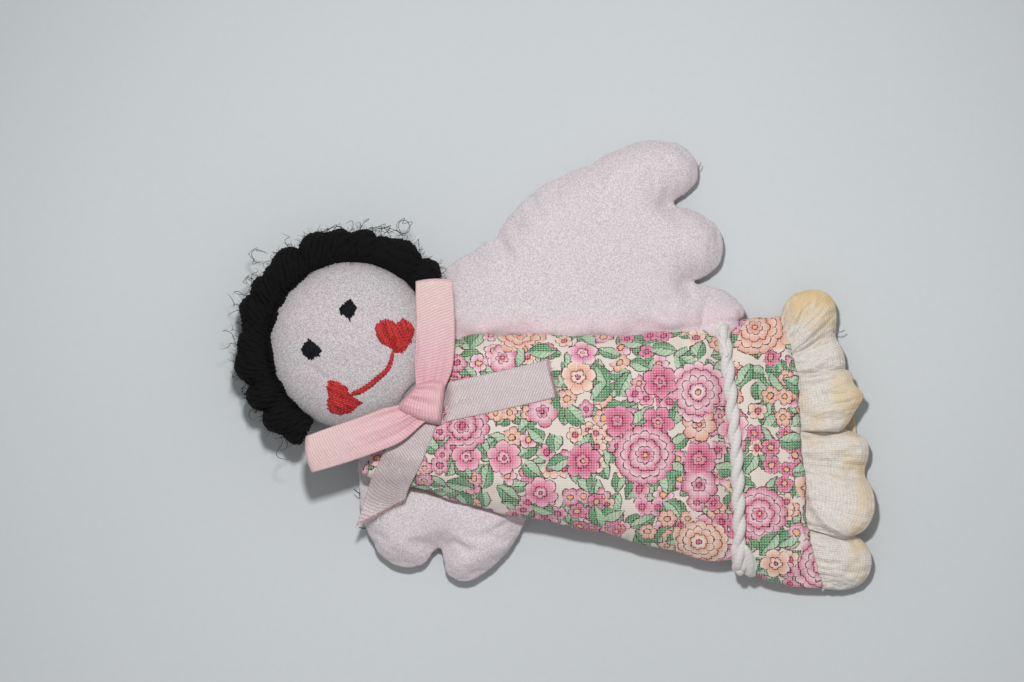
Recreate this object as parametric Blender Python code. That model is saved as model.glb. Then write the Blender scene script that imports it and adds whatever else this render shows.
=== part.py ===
"""A fabric angel doll, lying on its back and looking up.

The named sizes are in millimetres. X runs to the viewer's right when the doll is held upright,
Y runs from the hem to the head and Z is up from the table. The ribbon's knot is at (0, 0) until
the last step, which moves the doll so that the origin is under the middle of its box.
"""

from math import atan, ceil, cos, exp, hypot, pi, radians, sin, sqrt

import bmesh
import bpy
from mathutils import Vector
from mathutils.bvhtree import BVHTree
from mathutils.geometry import delaunay_2d_cdt

MM = 0.001
GAP = 0.32  # clearance between pieces that touch on the real doll

# Head: a stuffed ball, flatter in front and behind, gathered to a neck under the ribbon
HEAD_RADIUS = 22.0
HEAD_FRONT = 12.5
HEAD_BACK = 9.6
HEAD_TILT = radians(-35.0)
NECK_AT = (-0.8, 1.9)
NECK_LIFT = 1.0  # from the neck's point to the rim of the head
NECK_HALF_WIDTH = 9.7
NECK_HALF_DEPTH = 5.8
NECK_DROP = 1.0  # how much lower the neck lies than the widest ring of the head
NECK_END = 3.5  # how far the neck goes on past the rim
NECK_INSIDE = 6.0  # how far the neck reaches into the head
NECK_POCKET = 8.0  # how far inside the rim of the head the dress makes room for the neck
COLLAR_EASE = 4.0  # over which the room under the collar eases into that under the head

# Hair: loops of thick yarn around the head, from ear to ear and behind it
HAIR_PAD = 4.4  # yarn between the head and the table
HAIR_SWEEP = radians(105.5)
HAIR_LOOPS = 13
HAIR_LOOP_BULGE = 2.3
HAIR_LOOP_LIFT = 0.35  # share of its bulge by which a loop also rises
HAIR_LOOP_SLANT = 0.5  # steps that a loop shifts by from one row of the profile to the next
HAIR_INNER = 2.0  # how far below the widest ring the cap ends over the middle of the head
HAIR_PROFILE = [(-2.0, -14.0), (2.4, -12.6), (5.0, -8.0), (5.8, -2.0), (4.8, 3.6), (2.6, 6.4),
                (0.2, 5.4), (-2.0, 3.0)]  # out from the rim, up from the widest ring

# Face, measured on the head from its middle
FACE_SHIFT = -1.1
EYE_APART = 7.1
EYE_UP = 6.8
EYE_SIZE = 4.7
HEART_APART = 10.7
HEART_DOWN = 7.1
HEART_LENGTH = 9.0
HEART_WIDTH = 10.0
HEART_LEAN = radians(38.0)
SMILE_HALF_SPAN = 7.8
SMILE_SAG = 2.4
SMILE_DOWN = 8.9
SMILE_WIDTH = 1.5
SMILE_SHIFT = -0.6  # from the middle of the face
SMILE_TAPER = 0.2  # share of its width that it gains to the left and loses to the right
SMILE_CROWN = 1.3  # how much higher its middle is than its edges
STITCH_HEIGHT = 0.6

# Dress: a stuffed tapering body
LEFT_SEAM = [(-21.8, 15.8), (-22.8, 0.0), (-26.2, -22.0), (-28.0, -46.0), (-31.6, -73.0),
             (-35.9, -96.0), (-36.2, -108.0)]
RIGHT_SEAM = [(18.3, -6.1), (21.0, -24.0), (23.5, -48.0), (28.8, -69.0), (34.0, -88.4)]
DRESS_TOPS = [(0.0, 20.6), (0.3, 20.4), (0.6, 18.6), (0.83, 14.4), (1.0, 9.4)]
DRESS_UNDERSIDES = [(0.0, 7.2), (0.3, 3.0), (0.55, 1.0), (0.83, 0.5), (1.0, 0.0)]
DRESS_SQUARENESS = 2.6
SHOULDER_NARROWS = 0.1  # share of its width that the dress loses at the shoulders
SHOULDER_ROUND = 0.09  # share of the length over which the shoulders round off
PUCKER_HEIGHT = 0.35
PUCKERS = 11

# Braid: two twisted cords tied round the dress in a groove that they press
BRAID_AT = 0.823
BRAID_PLY = 1.0
BRAID_PLY_OFFSET = 0.8
BRAID_HALF_TURN = 5.0
BRAID_SLACK = 0.75
BRAID_KNOB = 1.35  # how much thicker the braid is where its ends meet
GROOVE_TOP = 3.5
GROOVE_UNDER = 6.2
GROOVE_SIDE = 2.4
GROOVE_SPREAD = 0.034

# Ruffle: a gathered strip that stands out past the hem, doubled back under itself
RUFFLE_THICK = 0.9
RUFFLE_START = 0.55
RUFFLE_NOTCHES = [36.4, 25.5, 7.0, -9.0, -22.7, -36.6]
RUFFLE_FOLDS = [15.4, 18.2, 18.2, 17.6, 14.4]
RUFFLE_NOTCH_REACH = [1.5, 13.6, 14.0, 15.0, 10.8, 2.0]
RUFFLE_FLARE = 5.5
RUFFLE_LOW = 3.6
RUFFLE_RISE = 4.6
RUFFLE_UNDER = 1.3
RUFFLE_UNDER_WAVE = 0.6
RUFFLE_UNDER_WAVES = 6
RUFFLE_UNDER_START = 1.5  # reach of its lower side at the side seams
RUFFLE_UNDER_REACH = 12.5  # how much further that side reaches in the middle
RUFFLE_TIP_DROP = 1.2  # how much the outer edge of a raised fold turns down
RUFFLE_TIP_FROM = 5.5  # height above which the edge turns down
RUFFLE_CREST = 1.6  # how fast a fold reaches its height
RUFFLE_END_DROP = 0.4  # how much lower the last fold ends
RUFFLE_STEPS = 8  # stations to each fold
HEM_TOP = 6.0  # heights of the sewn edge in front, behind and at the side seams
HEM_UNDER = 1.4
HEM_SIDE = 3.6
HEM_SIDE_FROM = 0.93  # share of the half width past which the sewn edge nears the seam
HEM_SIDE_EASE = 0.4  # share of its height above the seam that is left there

# Wings: one flat padded pair behind the dress, set askew; right and up along the pair
WINGS_AT = (25.9, -8.3)
WINGS_TURN = radians(-31.6)
WING_SEAM_HEIGHT = 4.3
WING_SEAM_HALF = 0.35
WING_LOFT = 6.2
WING_ROUNDING = 13.0
WING_UNDER_ROUNDING = 5.0
WING_PRESSED = 5.0  # height where the dress lies on the wings
WING_UNDER_BRAID = 1.9
WING_BRAID_SLOPE = 3.0  # rise of that room for each millimetre away from the braid
WING_BRAID_PAST = 0.6  # how far past the side seams the braid bulges
WING_PRESS_EDGE = 1.0  # how far outside the dress the wings begin to be pressed
WING_PRESS_WIDTH = 6.0
WING_GRID = 4.2
# each point is followed by how far the edge bulges on its way to the next one
WING_EDGE = [(0.0, 11.7, 1.0), (11.6, 9.0, 0.8), (18.1, 6.1, 2.4), (41.8, 2.6, 0.6), (48.6, -1.4, 0.8),
             (56.3, -4.3, 1.6), (67.3, -15.5, 2.4), (62.8, -26.2, 0.6), (54.1, -24.5, 0.9),
             (57.3, -36.5, 2.0), (48.5, -44.4, 0.6), (41.0, -40.8, 0.3), (45.8, -50.5, 5.5),
             (27.0, -56.0, -2.5), (0.0, -28.0, -2.0), (-18.0, -50.0, 4.0), (-33.4, -46.4, 1.6),
             (-53.5, -46.7, 1.8), (-58.4, -38.8, 0.3), (-53.0, -32.6, 0.3), (-59.5, -33.2, 2.4),
             (-65.4, -21.5, 1.3), (-54.1, -6.0, 0.7), (-41.8, 2.6, 1.6), (-18.1, 6.1, 0.8),
             (-11.6, 9.0, 1.0)]

# Ribbon: one narrow band tied round the neck in a bow
RIBBON_WIDTH = 10.0
RIBBON_THICK = 0.6
RIBBON_PINCH = 0.62  # share of its width that is left at the knot
RIBBON_SPREAD = 11.0  # distance from the knot at which the ribbon has its full width
COLLAR_WIDTH = 4.5
COLLAR_START = 2.0  # how far inside the rim of the head the collar begins
BOW_HEIGHT = 21.9
RIBBON_LIE = 0.6  # from a free length of ribbon down to what it lies on
LOOP_OPEN = 1.9
KNOT_BOTTOM = 18.6
KNOT_TOP = 25.6
KNOT_SHOULDER = 2.4  # how much lower the rim of the knot is
KNOT_ROUNDING = 3.5
KNOT_BULGE = 0.9
KNOT_EDGE = [(-2.6, 6.9), (-5.2, -4.6), (5.0, -4.8), (6.2, 1.6)]
RIGHT_LOOP = [(0.0, 0.0), (14.0, -1.2), (31.6, 1.4)]
LEFT_LOOP = [(-1.0, 1.5), (-9.5, 13.4), (-18.4, 27.4)]
RIGHT_TAIL = [(1.0, -1.0), (5.4, -15.5), (9.8, -31.9)]
LEFT_TAIL = [(-1.0, 0.5), (-10.5, 2.3), (-18.0, 3.9), (-27.2, 7.2)]
TAIL_CUT = 5.2  # how far the cut end of a tail slants
RIGHT_TAIL_LEAST = 14.0  # least heights of the tails
LEFT_TAIL_LEAST = 12.4
LEFT_TAIL_START = 20.4
LEFT_TAIL_LEVEL = 16.0  # distance from the knot at which the left tail starts to sink
LEFT_TAIL_SLOPE = 0.62

CLOTH = (0.86, 0.79, 0.79)
RED_FLOSS = (0.60, 0.015, 0.025)
BLACK_YARN = (0.012, 0.011, 0.013)
PRINTED_COTTON = (0.80, 0.52, 0.55)
PINK_SATIN = (0.90, 0.60, 0.60)
WHITE_COTTON = (0.86, 0.84, 0.84)
CREAM_COTTON = (0.87, 0.80, 0.68)


class Frame:
    """A place and a turn in the plan; its points are given as right and up."""

    def __init__(self, at, turn):
        self.at = Vector(at)
        self.right = Vector((cos(turn), sin(turn)))
        self.up = Vector((-sin(turn), cos(turn)))

    def plan(self, right, up):
        return self.at + self.right * right + self.up * up

    def local(self, x, y):
        away = Vector((x, y)) - self.at
        return away.dot(self.right), away.dot(self.up)


HEAD_UP = Vector((-sin(HEAD_TILT), cos(HEAD_TILT)))
HEAD = Frame(Vector(NECK_AT) + HEAD_UP * (HEAD_RADIUS + NECK_LIFT), HEAD_TILT)
HEAD_MIDDLE = HAIR_PAD + HEAD_BACK
WINGS = Frame(WINGS_AT, WINGS_TURN)


# Outlines and surfaces

def smooth(points, steps):
    """Points along a curve that passes through the given ones, with steps to each span."""
    ends = [2 * Vector(points[0]) - Vector(points[1])]
    ends += [Vector(p) for p in points]
    ends.append(2 * Vector(points[-1]) - Vector(points[-2]))
    curve = []
    for i in range(1, len(ends) - 2):
        before, start, finish, after = ends[i - 1:i + 3]
        for k in range(steps):
            t = k / steps
            curve.append(0.5 * (2 * start + (finish - before) * t
                                + (2 * before - 5 * start + 4 * finish - after) * t ** 2
                                + (3 * start - before - 3 * finish + after) * t ** 3))
    return curve + [ends[-2]]


def evenly(curve, count):
    """The same curve with its points at even steps of its length."""
    lengths = [0.0]
    for a, b in zip(curve, curve[1:]):
        lengths.append(lengths[-1] + (b - a).length)
    points, i = [], 0
    for k in range(count + 1):
        want = lengths[-1] * k / count
        while i < len(curve) - 2 and lengths[i + 1] < want:
            i += 1
        share = (want - lengths[i]) / (lengths[i + 1] - lengths[i])
        points.append(curve[i].lerp(curve[i + 1], min(max(share, 0.0), 1.0)))
    return points


def arcs(edge, spacing):
    """A closed outline whose stretches are arcs; each point carries the bulge that follows it."""
    outline = []
    for (x0, y0, bulge), (x1, y1, _) in zip(edge, edge[1:] + edge[:1]):
        along = Vector((x1 - x0, y1 - y0))
        half = along.length / 2
        along.normalize()
        outward = Vector((-along.y, along.x))
        angle = 2 * atan(bulge / half)
        radius = half / sin(angle)
        steps = max(1, ceil(abs(2 * angle * radius) / spacing))
        middle = Vector(((x0 + x1) / 2, (y0 + y1) / 2))
        for k in range(steps):
            turn = angle * (2 * k / steps - 1)
            outline.append(middle + along * (radius * sin(turn))
                           + outward * (radius * (cos(turn) - cos(angle))))
    return outline


def edge_distance(point, outline):
    """How far a point lies from a closed outline."""
    best = 1e9
    for a, b in zip(outline, outline[1:] + outline[:1]):
        along = b - a
        share = min(max((point - a).dot(along) / along.length_squared, 0.0), 1.0)
        best = min(best, (a + along * share - point).length)
    return best


def inside(point, outline):
    """Whether a point lies within a closed outline."""
    crossings = 0
    for a, b in zip(outline, outline[1:] + outline[:1]):
        if (a.y > point.y) != (b.y > point.y):
            crossings += point.x < a.x + (b.x - a.x) * (point.y - a.y) / (b.y - a.y)
    return crossings % 2 == 1


def table(rows, t):
    """A value that eases from row to row of a table of places and values."""
    for (t0, v0), (t1, v1) in zip(rows, rows[1:]):
        if t <= t1:
            share = min(max((t - t0) / (t1 - t0), 0.0), 1.0)
            return v0 + (v1 - v0) * (1 - cos(pi * share)) / 2
    return rows[-1][1]


def round_off(share):
    """Rises from 0 to 1 as a quarter of a circle does."""
    return sqrt(max(0.0, 1 - (1 - min(max(share, 0.0), 1.0)) ** 2))


def pillow(outline, spacing, top, bottom):
    """A padded shape on an outline, with the heights of its two faces as functions."""
    points = [Vector(p) for p in outline]
    low_x, high_x = min(p.x for p in points), max(p.x for p in points)
    low_y, high_y = min(p.y for p in points), max(p.y for p in points)
    row_step = spacing * sqrt(3) / 2
    grid = []
    for j in range(ceil((high_y - low_y) / row_step)):
        for i in range(ceil((high_x - low_x) / spacing)):
            point = Vector((low_x + (i + (j % 2) / 2) * spacing, low_y + j * row_step))
            if inside(point, points) and edge_distance(point, points) > 0.6 * spacing:
                grid.append(point)
    count = len(points)
    edges = [(i, (i + 1) % count) for i in range(count)]
    plan, _, faces, _, _, _ = delaunay_2d_cdt(points + grid, edges, [], 1, 1e-5)
    edge_gap = [edge_distance(p, points) for p in plan]
    above = [(p.x, p.y, top(p, d)) for p, d in zip(plan, edge_gap)]
    below = [(p.x, p.y, bottom(p, d)) for p, d in zip(plan, edge_gap)]
    size = len(plan)
    walls = [(a, b, b + size, a + size) for a, b in edges]
    upper = [tuple(f) for f in faces]
    lower = [tuple(i + size for i in reversed(f)) for f in faces]
    return above + below, upper + lower + walls


def tube(rings, closed):
    """Faces between rings of points; the ends meet if it is closed and are capped if not."""
    around = len(rings[0])
    verts = [tuple(p) for ring in rings for p in ring]
    faces = []
    for i in range(len(rings) if closed else len(rings) - 1):
        a, b = i * around, (i + 1) % len(rings) * around
        faces += [(a + k, a + (k + 1) % around, b + (k + 1) % around, b + k) for k in range(around)]
    if not closed:
        faces.append(tuple(reversed(range(around))))
        faces.append(tuple(range(len(verts) - around, len(verts))))
    return verts, faces


def band(stations, thickness, closed=False, across=4):
    """A strip of ribbon; each station has a middle, half of its width and its thickness direction."""
    rings = []
    for middle, half, normal in stations:
        line = [middle + half * (2 * k / across - 1) for k in range(across + 1)]
        rings.append([p + normal * (thickness / 2) for p in line]
                     + [p - normal * (thickness / 2) for p in reversed(line)])
    return tube(rings, closed)


# Objects

def material(name, colour, roughness):
    made = bpy.data.materials.new(name)
    made.use_nodes = True
    shader = made.node_tree.nodes["Principled BSDF"]
    shader.inputs["Base Color"].default_value = (*colour, 1.0)
    shader.inputs["Roughness"].default_value = roughness
    shader.inputs["Metallic"].default_value = 0.0
    return made


def new_object(name, shape):
    """An object under the doll's empty, from points in millimetres, with its faces turned outward."""
    verts, faces = shape
    mesh = bpy.data.meshes.new(name)
    mesh.from_pydata([Vector(v) * MM for v in verts], [], faces)
    work = bmesh.new()
    work.from_mesh(mesh)
    bmesh.ops.recalc_face_normals(work, faces=work.faces)
    work.to_mesh(mesh)
    work.free()
    made = bpy.data.objects.new(name, mesh)
    bpy.context.scene.collection.objects.link(made)
    made.parent = DOLL
    return made


def piece(name, shape, colour, roughness, sharp=50.0):
    """One sub-part with its own material, shaded smooth but for its real edges."""
    made = new_object(name, shape)
    made.data.materials.append(material(name + "_material", colour, roughness))
    made.data.shade_smooth()
    made.data.set_sharp_from_angle(angle=radians(sharp))
    return made


def cutter(name, shape, grow=0.0):
    """A hidden shape for a Boolean, grown by moving each point outward."""
    made = new_object(name, shape)
    if grow:
        normals = [v.normal.copy() for v in made.data.vertices]
        for v, normal in zip(made.data.vertices, normals):
            v.co += normal * grow * MM
    made.hide_render = True
    made.display_type = 'WIRE'
    return made


def combine(target, tool, operation):
    change = target.modifiers.new(tool.name, 'BOOLEAN')
    change.operation = operation
    change.solver = 'EXACT'
    change.object = tool


def surface_tree(shapes):
    """A search tree of the given shapes, which ribbons lie on."""
    verts, faces = [], []
    for shape_verts, shape_faces in shapes:
        faces += [tuple(i + len(verts) for i in f) for f in shape_faces]
        verts += [Vector(v) for v in shape_verts]
    return BVHTree.FromPolygons(verts, faces)


def resting_height(tree, x, y, least):
    """The height of what lies under a point, or the least height where that is higher."""
    hit = tree.ray_cast(Vector((x, y, 200.0)), Vector((0, 0, -1)))[0]
    return max(least, hit.z + RIBBON_LIE) if hit else least


# Head and hair

def head_height(right, up, grow=0.0):
    """Height of the face at a point measured from the middle of the head."""
    share = min(hypot(right, up) / (HEAD_RADIUS + grow), 1.0)
    return HEAD_MIDDLE + (HEAD_FRONT + grow) * sqrt(1 - share ** 2)


def head_underside(x, y):
    """Height of the back of the head, or of the collar, over a point of the plan."""
    right, up = HEAD.local(x, y)
    share = min(hypot(right, up) / HEAD_RADIUS, 1.0)
    height = HEAD_MIDDLE - HEAD_BACK * sqrt(1 - share ** 2)
    beside = max(abs(right) - NECK_HALF_WIDTH, abs(up + HEAD_RADIUS) - COLLAR_WIDTH) / COLLAR_EASE
    collar = HEAD_MIDDLE - NECK_DROP - NECK_HALF_DEPTH - 2 * RIBBON_THICK
    if beside < 1:
        height = min(height, collar + (height - collar) * max(beside, 0.0))
    return height if share < 1 or beside < 1 else None


def head_ball():
    work = bmesh.new()
    bmesh.ops.create_uvsphere(work, u_segments=40, v_segments=20, radius=1.0)
    work.verts.index_update()
    verts = []
    for v in work.verts:
        plan = HEAD.plan(v.co.x * HEAD_RADIUS, v.co.y * HEAD_RADIUS)
        depth = HEAD_FRONT if v.co.z > 0 else HEAD_BACK
        verts.append((plan.x, plan.y, HEAD_MIDDLE + v.co.z * depth))
    faces = [tuple(v.index for v in f.verts) for f in work.faces]
    work.free()
    return verts, faces


def neck_ring(below, half_width, half_depth, count=32):
    """An oval round the neck, at a distance below the middle of the head."""
    ring = []
    for k in range(count):
        turn = 2 * pi * k / count
        plan = HEAD.plan(half_width * cos(turn), -below)
        ring.append(Vector((plan.x, plan.y, HEAD_MIDDLE - NECK_DROP + half_depth * sin(turn))))
    return ring


def neck_shape(start, end, grow):
    """The gathered neck, or the room for it when grown."""
    widths = (NECK_HALF_WIDTH + grow, NECK_HALF_DEPTH + grow)
    return tube([neck_ring(start, *widths), neck_ring(end, *widths)], False)


def hair_shape():
    """A thick cap of yarn loops round the head, closed towards its middle."""
    steps = 6
    last = HAIR_LOOPS * steps
    middle = HEAD.plan(0, 0)
    rings = []
    for k in range(last + 1):
        turn = pi / 2 + HAIR_SWEEP * (1 - 2 * k / last)
        ring = [(middle.x, middle.y, HEAD_MIDDLE - HAIR_INNER), (middle.x, middle.y, 0.0)]
        for j, (out, height) in enumerate(HAIR_PROFILE):
            slant = HAIR_LOOP_SLANT * j if 0 < k < last else 0.0
            bow = sqrt(1 - (2 * ((k + slant) / steps % 1) - 1) ** 2)
            lump = bow * HAIR_LOOP_BULGE * sin(pi * (j + 0.5) / len(HAIR_PROFILE))
            reach = HEAD_RADIUS + out + lump
            plan = HEAD.plan(reach * cos(turn), reach * sin(turn))
            lift = HAIR_LOOP_LIFT * lump if height > 0 else 0.0
            ring.append((plan.x, plan.y, max(HEAD_MIDDLE + height + lift, 0.0)))
        rings.append(ring)
    around = len(rings[0])
    verts = [p for ring in rings for p in ring[2:]] + rings[0][:2]
    top, bottom = len(verts) - 2, len(verts) - 1
    row = around - 2
    faces = []
    for i in range(len(rings) - 1):
        a, b = i * row, (i + 1) * row
        faces += [(a + k, a + k + 1, b + k + 1, b + k) for k in range(row - 1)]
        faces.append((bottom, a, b))
        faces.append((a + row - 1, top, b + row - 1))
    last = (len(rings) - 1) * row
    faces.append((top, bottom) + tuple(range(row)))
    faces.append((bottom, top) + tuple(range(last + row - 1, last - 1, -1)))
    return verts, faces


# Face

def stitched_pad(outline):
    """A thin pad of stitches on the face, from an outline measured from the middle of the head."""
    count = len(outline)
    middle = sum((Vector(p) for p in outline), Vector((0, 0))) / count
    flat = [Vector(p) for p in outline] + [middle.lerp(Vector(p), 0.55) for p in outline] + [middle]
    verts = []
    for lift in (GAP + STITCH_HEIGHT, GAP):
        for p in flat:
            plan = HEAD.plan(p.x, p.y)
            verts.append((plan.x, plan.y, head_height(p.x, p.y, lift)))
    size = len(flat)
    faces = []
    for k in range(count):
        n = (k + 1) % count
        faces += [(k, n, count + n, count + k), (count + k, count + n, 2 * count)]
        faces += [(size + n, size + k, size + count + k, size + count + n)]
        faces += [(size + count + n, size + count + k, size + 2 * count)]
        faces.append((n, k, size + k, size + n))
    return verts, faces


def eye_outline(side):
    """A small diamond with rounded corners."""
    points = []
    for k in range(16):
        turn = 2 * pi * k / 16
        reach = EYE_SIZE / 2 / (abs(cos(turn)) ** 1.5 + abs(sin(turn)) ** 1.5) ** (1 / 1.5)
        points.append((FACE_SHIFT + side * EYE_APART + reach * cos(turn), EYE_UP + reach * sin(turn)))
    return points


def heart_outline(side):
    """A heart whose tip leans towards the smile."""
    points = []
    for k in range(24):
        turn = 2 * pi * (k + 0.5) / 24
        across = sin(turn) ** 3 * HEART_WIDTH / 2
        along = 13 * cos(turn) - 5 * cos(2 * turn) - 2 * cos(3 * turn) - cos(4 * turn)
        along *= HEART_LENGTH / 29
        lean = -side * HEART_LEAN
        points.append((FACE_SHIFT + side * HEART_APART + across * cos(lean) - along * sin(lean),
                       -HEART_DOWN + across * sin(lean) + along * cos(lean)))
    return points


def smile_shape():
    """A narrow curved pad between the hearts, thicker on the left."""
    steps = 14
    rings = []
    for k in range(steps + 1):
        share = 2 * k / steps - 1
        middle = Vector((FACE_SHIFT + SMILE_SHIFT + SMILE_HALF_SPAN * share,
                         -SMILE_DOWN - SMILE_SAG * (1 - share ** 2)))
        along = Vector((SMILE_HALF_SPAN, 2 * SMILE_SAG * share)).normalized()
        half = SMILE_WIDTH / 2 * (1 - SMILE_TAPER * share)
        side = Vector((-along.y, along.x)) * half
        edge, crown = GAP + STITCH_HEIGHT, GAP + STITCH_HEIGHT * SMILE_CROWN
        ring = []
        for offset, lift in ((side, GAP), (side, edge), (side * 0, crown),
                             (-side, edge), (-side, GAP), (side * 0, GAP)):
            p = middle + offset
            plan = HEAD.plan(p.x, p.y)
            ring.append((plan.x, plan.y, head_height(p.x, p.y, lift)))
        rings.append(ring)
    return tube(rings, False)


# Dress

LEFT_CURVE = evenly(smooth(LEFT_SEAM, 8), 200)
RIGHT_CURVE = evenly(smooth(RIGHT_SEAM, 8), 200)


def groove(t):
    return exp(-((t - BRAID_AT) / GROOVE_SPREAD) ** 2)


def seams(t):
    """The two side seams' points at a share of the dress's length."""
    place = min(max(t, 0.0), 1.0) * 200
    i = min(int(place), 199)
    return (LEFT_CURVE[i].lerp(LEFT_CURVE[i + 1], place - i),
            RIGHT_CURVE[i].lerp(RIGHT_CURVE[i + 1], place - i))


def dress_ring(t, count):
    """A closed ring round the dress at a share of its length."""
    left, right = seams(t)
    middle, half = (left + right) / 2, (right - left) / 2
    shoulder = round_off((t + 0.004) / SHOULDER_ROUND)
    half = half * (1 - SHOULDER_NARROWS * (1 - shoulder)) - half.normalized() * GROOVE_SIDE * groove(t)
    top = table(DRESS_TOPS, t) - GROOVE_TOP * groove(t)
    under = table(DRESS_UNDERSIDES, t) + GROOVE_UNDER * groove(t)
    centre, depth = (top + under) / 2, (top - under) / 2 * shoulder
    gathered = PUCKER_HEIGHT * exp(-((t - BRAID_AT) / (2.5 * GROOVE_SPREAD)) ** 2) * (1 - groove(t))
    ring = []
    for k in range(count):
        turn = 2 * pi * k / count
        u = abs(cos(turn)) ** (2 / DRESS_SQUARENESS) * (1 if cos(turn) > 0 else -1)
        w = abs(sin(turn)) ** (2 / DRESS_SQUARENESS) * (1 if sin(turn) > 0 else -1)
        plan = middle + half * u
        pucker = gathered * sin(PUCKERS * pi * u) * max(w, 0.0)
        ring.append(Vector((plan.x, plan.y, max(centre + depth * w + pucker, 0.0))))
    return ring


def dress_shape():
    rows = 26
    beside = [BRAID_AT + GROOVE_SPREAD * k * 0.55 for k in range(-4, 5)]
    places = [(k / rows) ** 1.25 for k in range(rows + 1)]
    places = [t for t in places if not beside[0] - 0.01 < t < beside[-1] + 0.01]
    return tube([dress_ring(t, 30) for t in sorted(places + beside)], False)


def braid_shape():
    """Two cords twisted together, closed round the dress."""
    left, right = seams(BRAID_AT)
    side = Vector((left.y - right.y, right.x - left.x, 0)).normalized()
    ring = evenly(dress_ring(BRAID_AT, 120) + dress_ring(BRAID_AT, 120)[:1], 120)[:-1]
    clear = BRAID_PLY + BRAID_PLY_OFFSET + BRAID_SLACK
    path = []
    for i, p in enumerate(ring):
        outward = side.cross(ring[(i + 1) % len(ring)] - ring[i - 1]).normalized()
        path.append(p + outward * clear)
    path = evenly(path + path[:1], 112)[:-1]
    count = len(path)
    length = sum((path[(i + 1) % count] - path[i]).length for i in range(count))
    half_turns = round(length / BRAID_HALF_TURN)
    rings = []
    for i in range(count):
        along = (path[(i + 1) % count] - path[i - 1]).normalized()
        up = side.cross(along).normalized()
        twist = pi * half_turns * i / count
        knob = 1 + (BRAID_KNOB - 1) * exp(-(((path[i] - path[count // 2]).length) / 4) ** 2)
        ring = []
        for ply in (1, -1):
            for k in range(5):
                turn = -pi / 2 + pi * (k + 0.5) / 5
                a = (ply * (BRAID_PLY_OFFSET + BRAID_PLY * cos(turn)))
                b = ply * BRAID_PLY * sin(turn)
                across = a * cos(twist) - b * sin(twist)
                height = a * sin(twist) + b * cos(twist)
                ring.append(path[i] + side * across + up * height * (knob if height > 0 else 1))
        rings.append(ring)
    return tube(rings, True)


# Ruffle

def ruffle_edge():
    """Stations round the ruffle: place along the hem, reach, flare and height of its outer edge."""
    stations = []
    for i, fold in enumerate(RUFFLE_FOLDS):
        start, finish = RUFFLE_NOTCHES[i], RUFFLE_NOTCHES[i + 1]
        for k in range(RUFFLE_STEPS):
            share = k / RUFFLE_STEPS
            bump = sqrt(1 - (2 * share - 1) ** 2)
            notch = RUFFLE_NOTCH_REACH[i] * (1 - share) + RUFFLE_NOTCH_REACH[i + 1] * share
            reach = notch + (fold - notch) * bump
            stations.append((start + (finish - start) * share, reach, RUFFLE_LOW + RUFFLE_RISE * bump))
    count = len(stations) - RUFFLE_STEPS
    first, last = RUFFLE_NOTCHES[0], RUFFLE_NOTCHES[-1]
    stations.append((last, RUFFLE_NOTCH_REACH[-1], RUFFLE_LOW - RUFFLE_END_DROP))
    for k in range(count):
        share = (k + 0.5) / count
        reach = RUFFLE_UNDER_START + RUFFLE_UNDER_REACH * round_off(4 * min(share, 1 - share))
        wave = RUFFLE_UNDER_WAVE * sin(2 * pi * share * RUFFLE_UNDER_WAVES)
        stations.append((last + (first - last) * share, reach, RUFFLE_UNDER + wave))
    return stations


def ruffle_shape(hem):
    """The gathered strip as a closed tube of cloth round the hem."""
    rows = [0.0, 0.12, 0.32, 0.6, 0.86, 1.0]
    stations = ruffle_edge()
    front = len(RUFFLE_FOLDS) * RUFFLE_STEPS
    widest = max(abs(n) for n in RUFFLE_NOTCHES)
    sheets = []
    for v in rows:
        line = []
        for i, (place, reach, height) in enumerate(stations):
            hem_height = HEM_TOP if i < front else HEM_UNDER
            if abs(place) > HEM_SIDE_FROM * widest:
                hem_height = HEM_SIDE + (hem_height - HEM_SIDE) * HEM_SIDE_EASE
            flare = RUFFLE_FLARE * (place / widest) ** 5 * v * min(1.0, reach / RUFFLE_NOTCH_REACH[-2])
            z = hem_height + (height - hem_height) * sin(pi / 2 * min(1.0, RUFFLE_CREST * v))
            if v == 1.0 and height > RUFFLE_TIP_FROM:
                z -= RUFFLE_TIP_DROP
            plan = hem.plan(place + flare, -(RUFFLE_START + reach * v))
            line.append(Vector((plan.x, plan.y, z)))
        sheets.append(line)
    return sheets


def solid_sheet(sheets, thickness):
    """A closed loop of cloth given its thickness, half to each side."""
    rows, count = len(sheets), len(sheets[0])
    normals = []
    for j in range(rows):
        line = []
        for i in range(count):
            around = sheets[j][(i + 1) % count] - sheets[j][i - 1]
            outward = sheets[min(j + 1, rows - 1)][i] - sheets[max(j - 1, 0)][i]
            normal = around.cross(outward)
            normal -= normal.dot(outward.normalized()) * outward.normalized()
            line.append(normal.normalized() * thickness / 2)
        normals.append(line)
    rings = []
    for i in range(count):
        upper = [sheets[j][i] + normals[j][i] for j in range(rows)]
        lower = [sheets[j][i] - normals[j][i] for j in reversed(range(rows))]
        rings.append(upper + lower)
    return tube(rings, True)


# Wings

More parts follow.
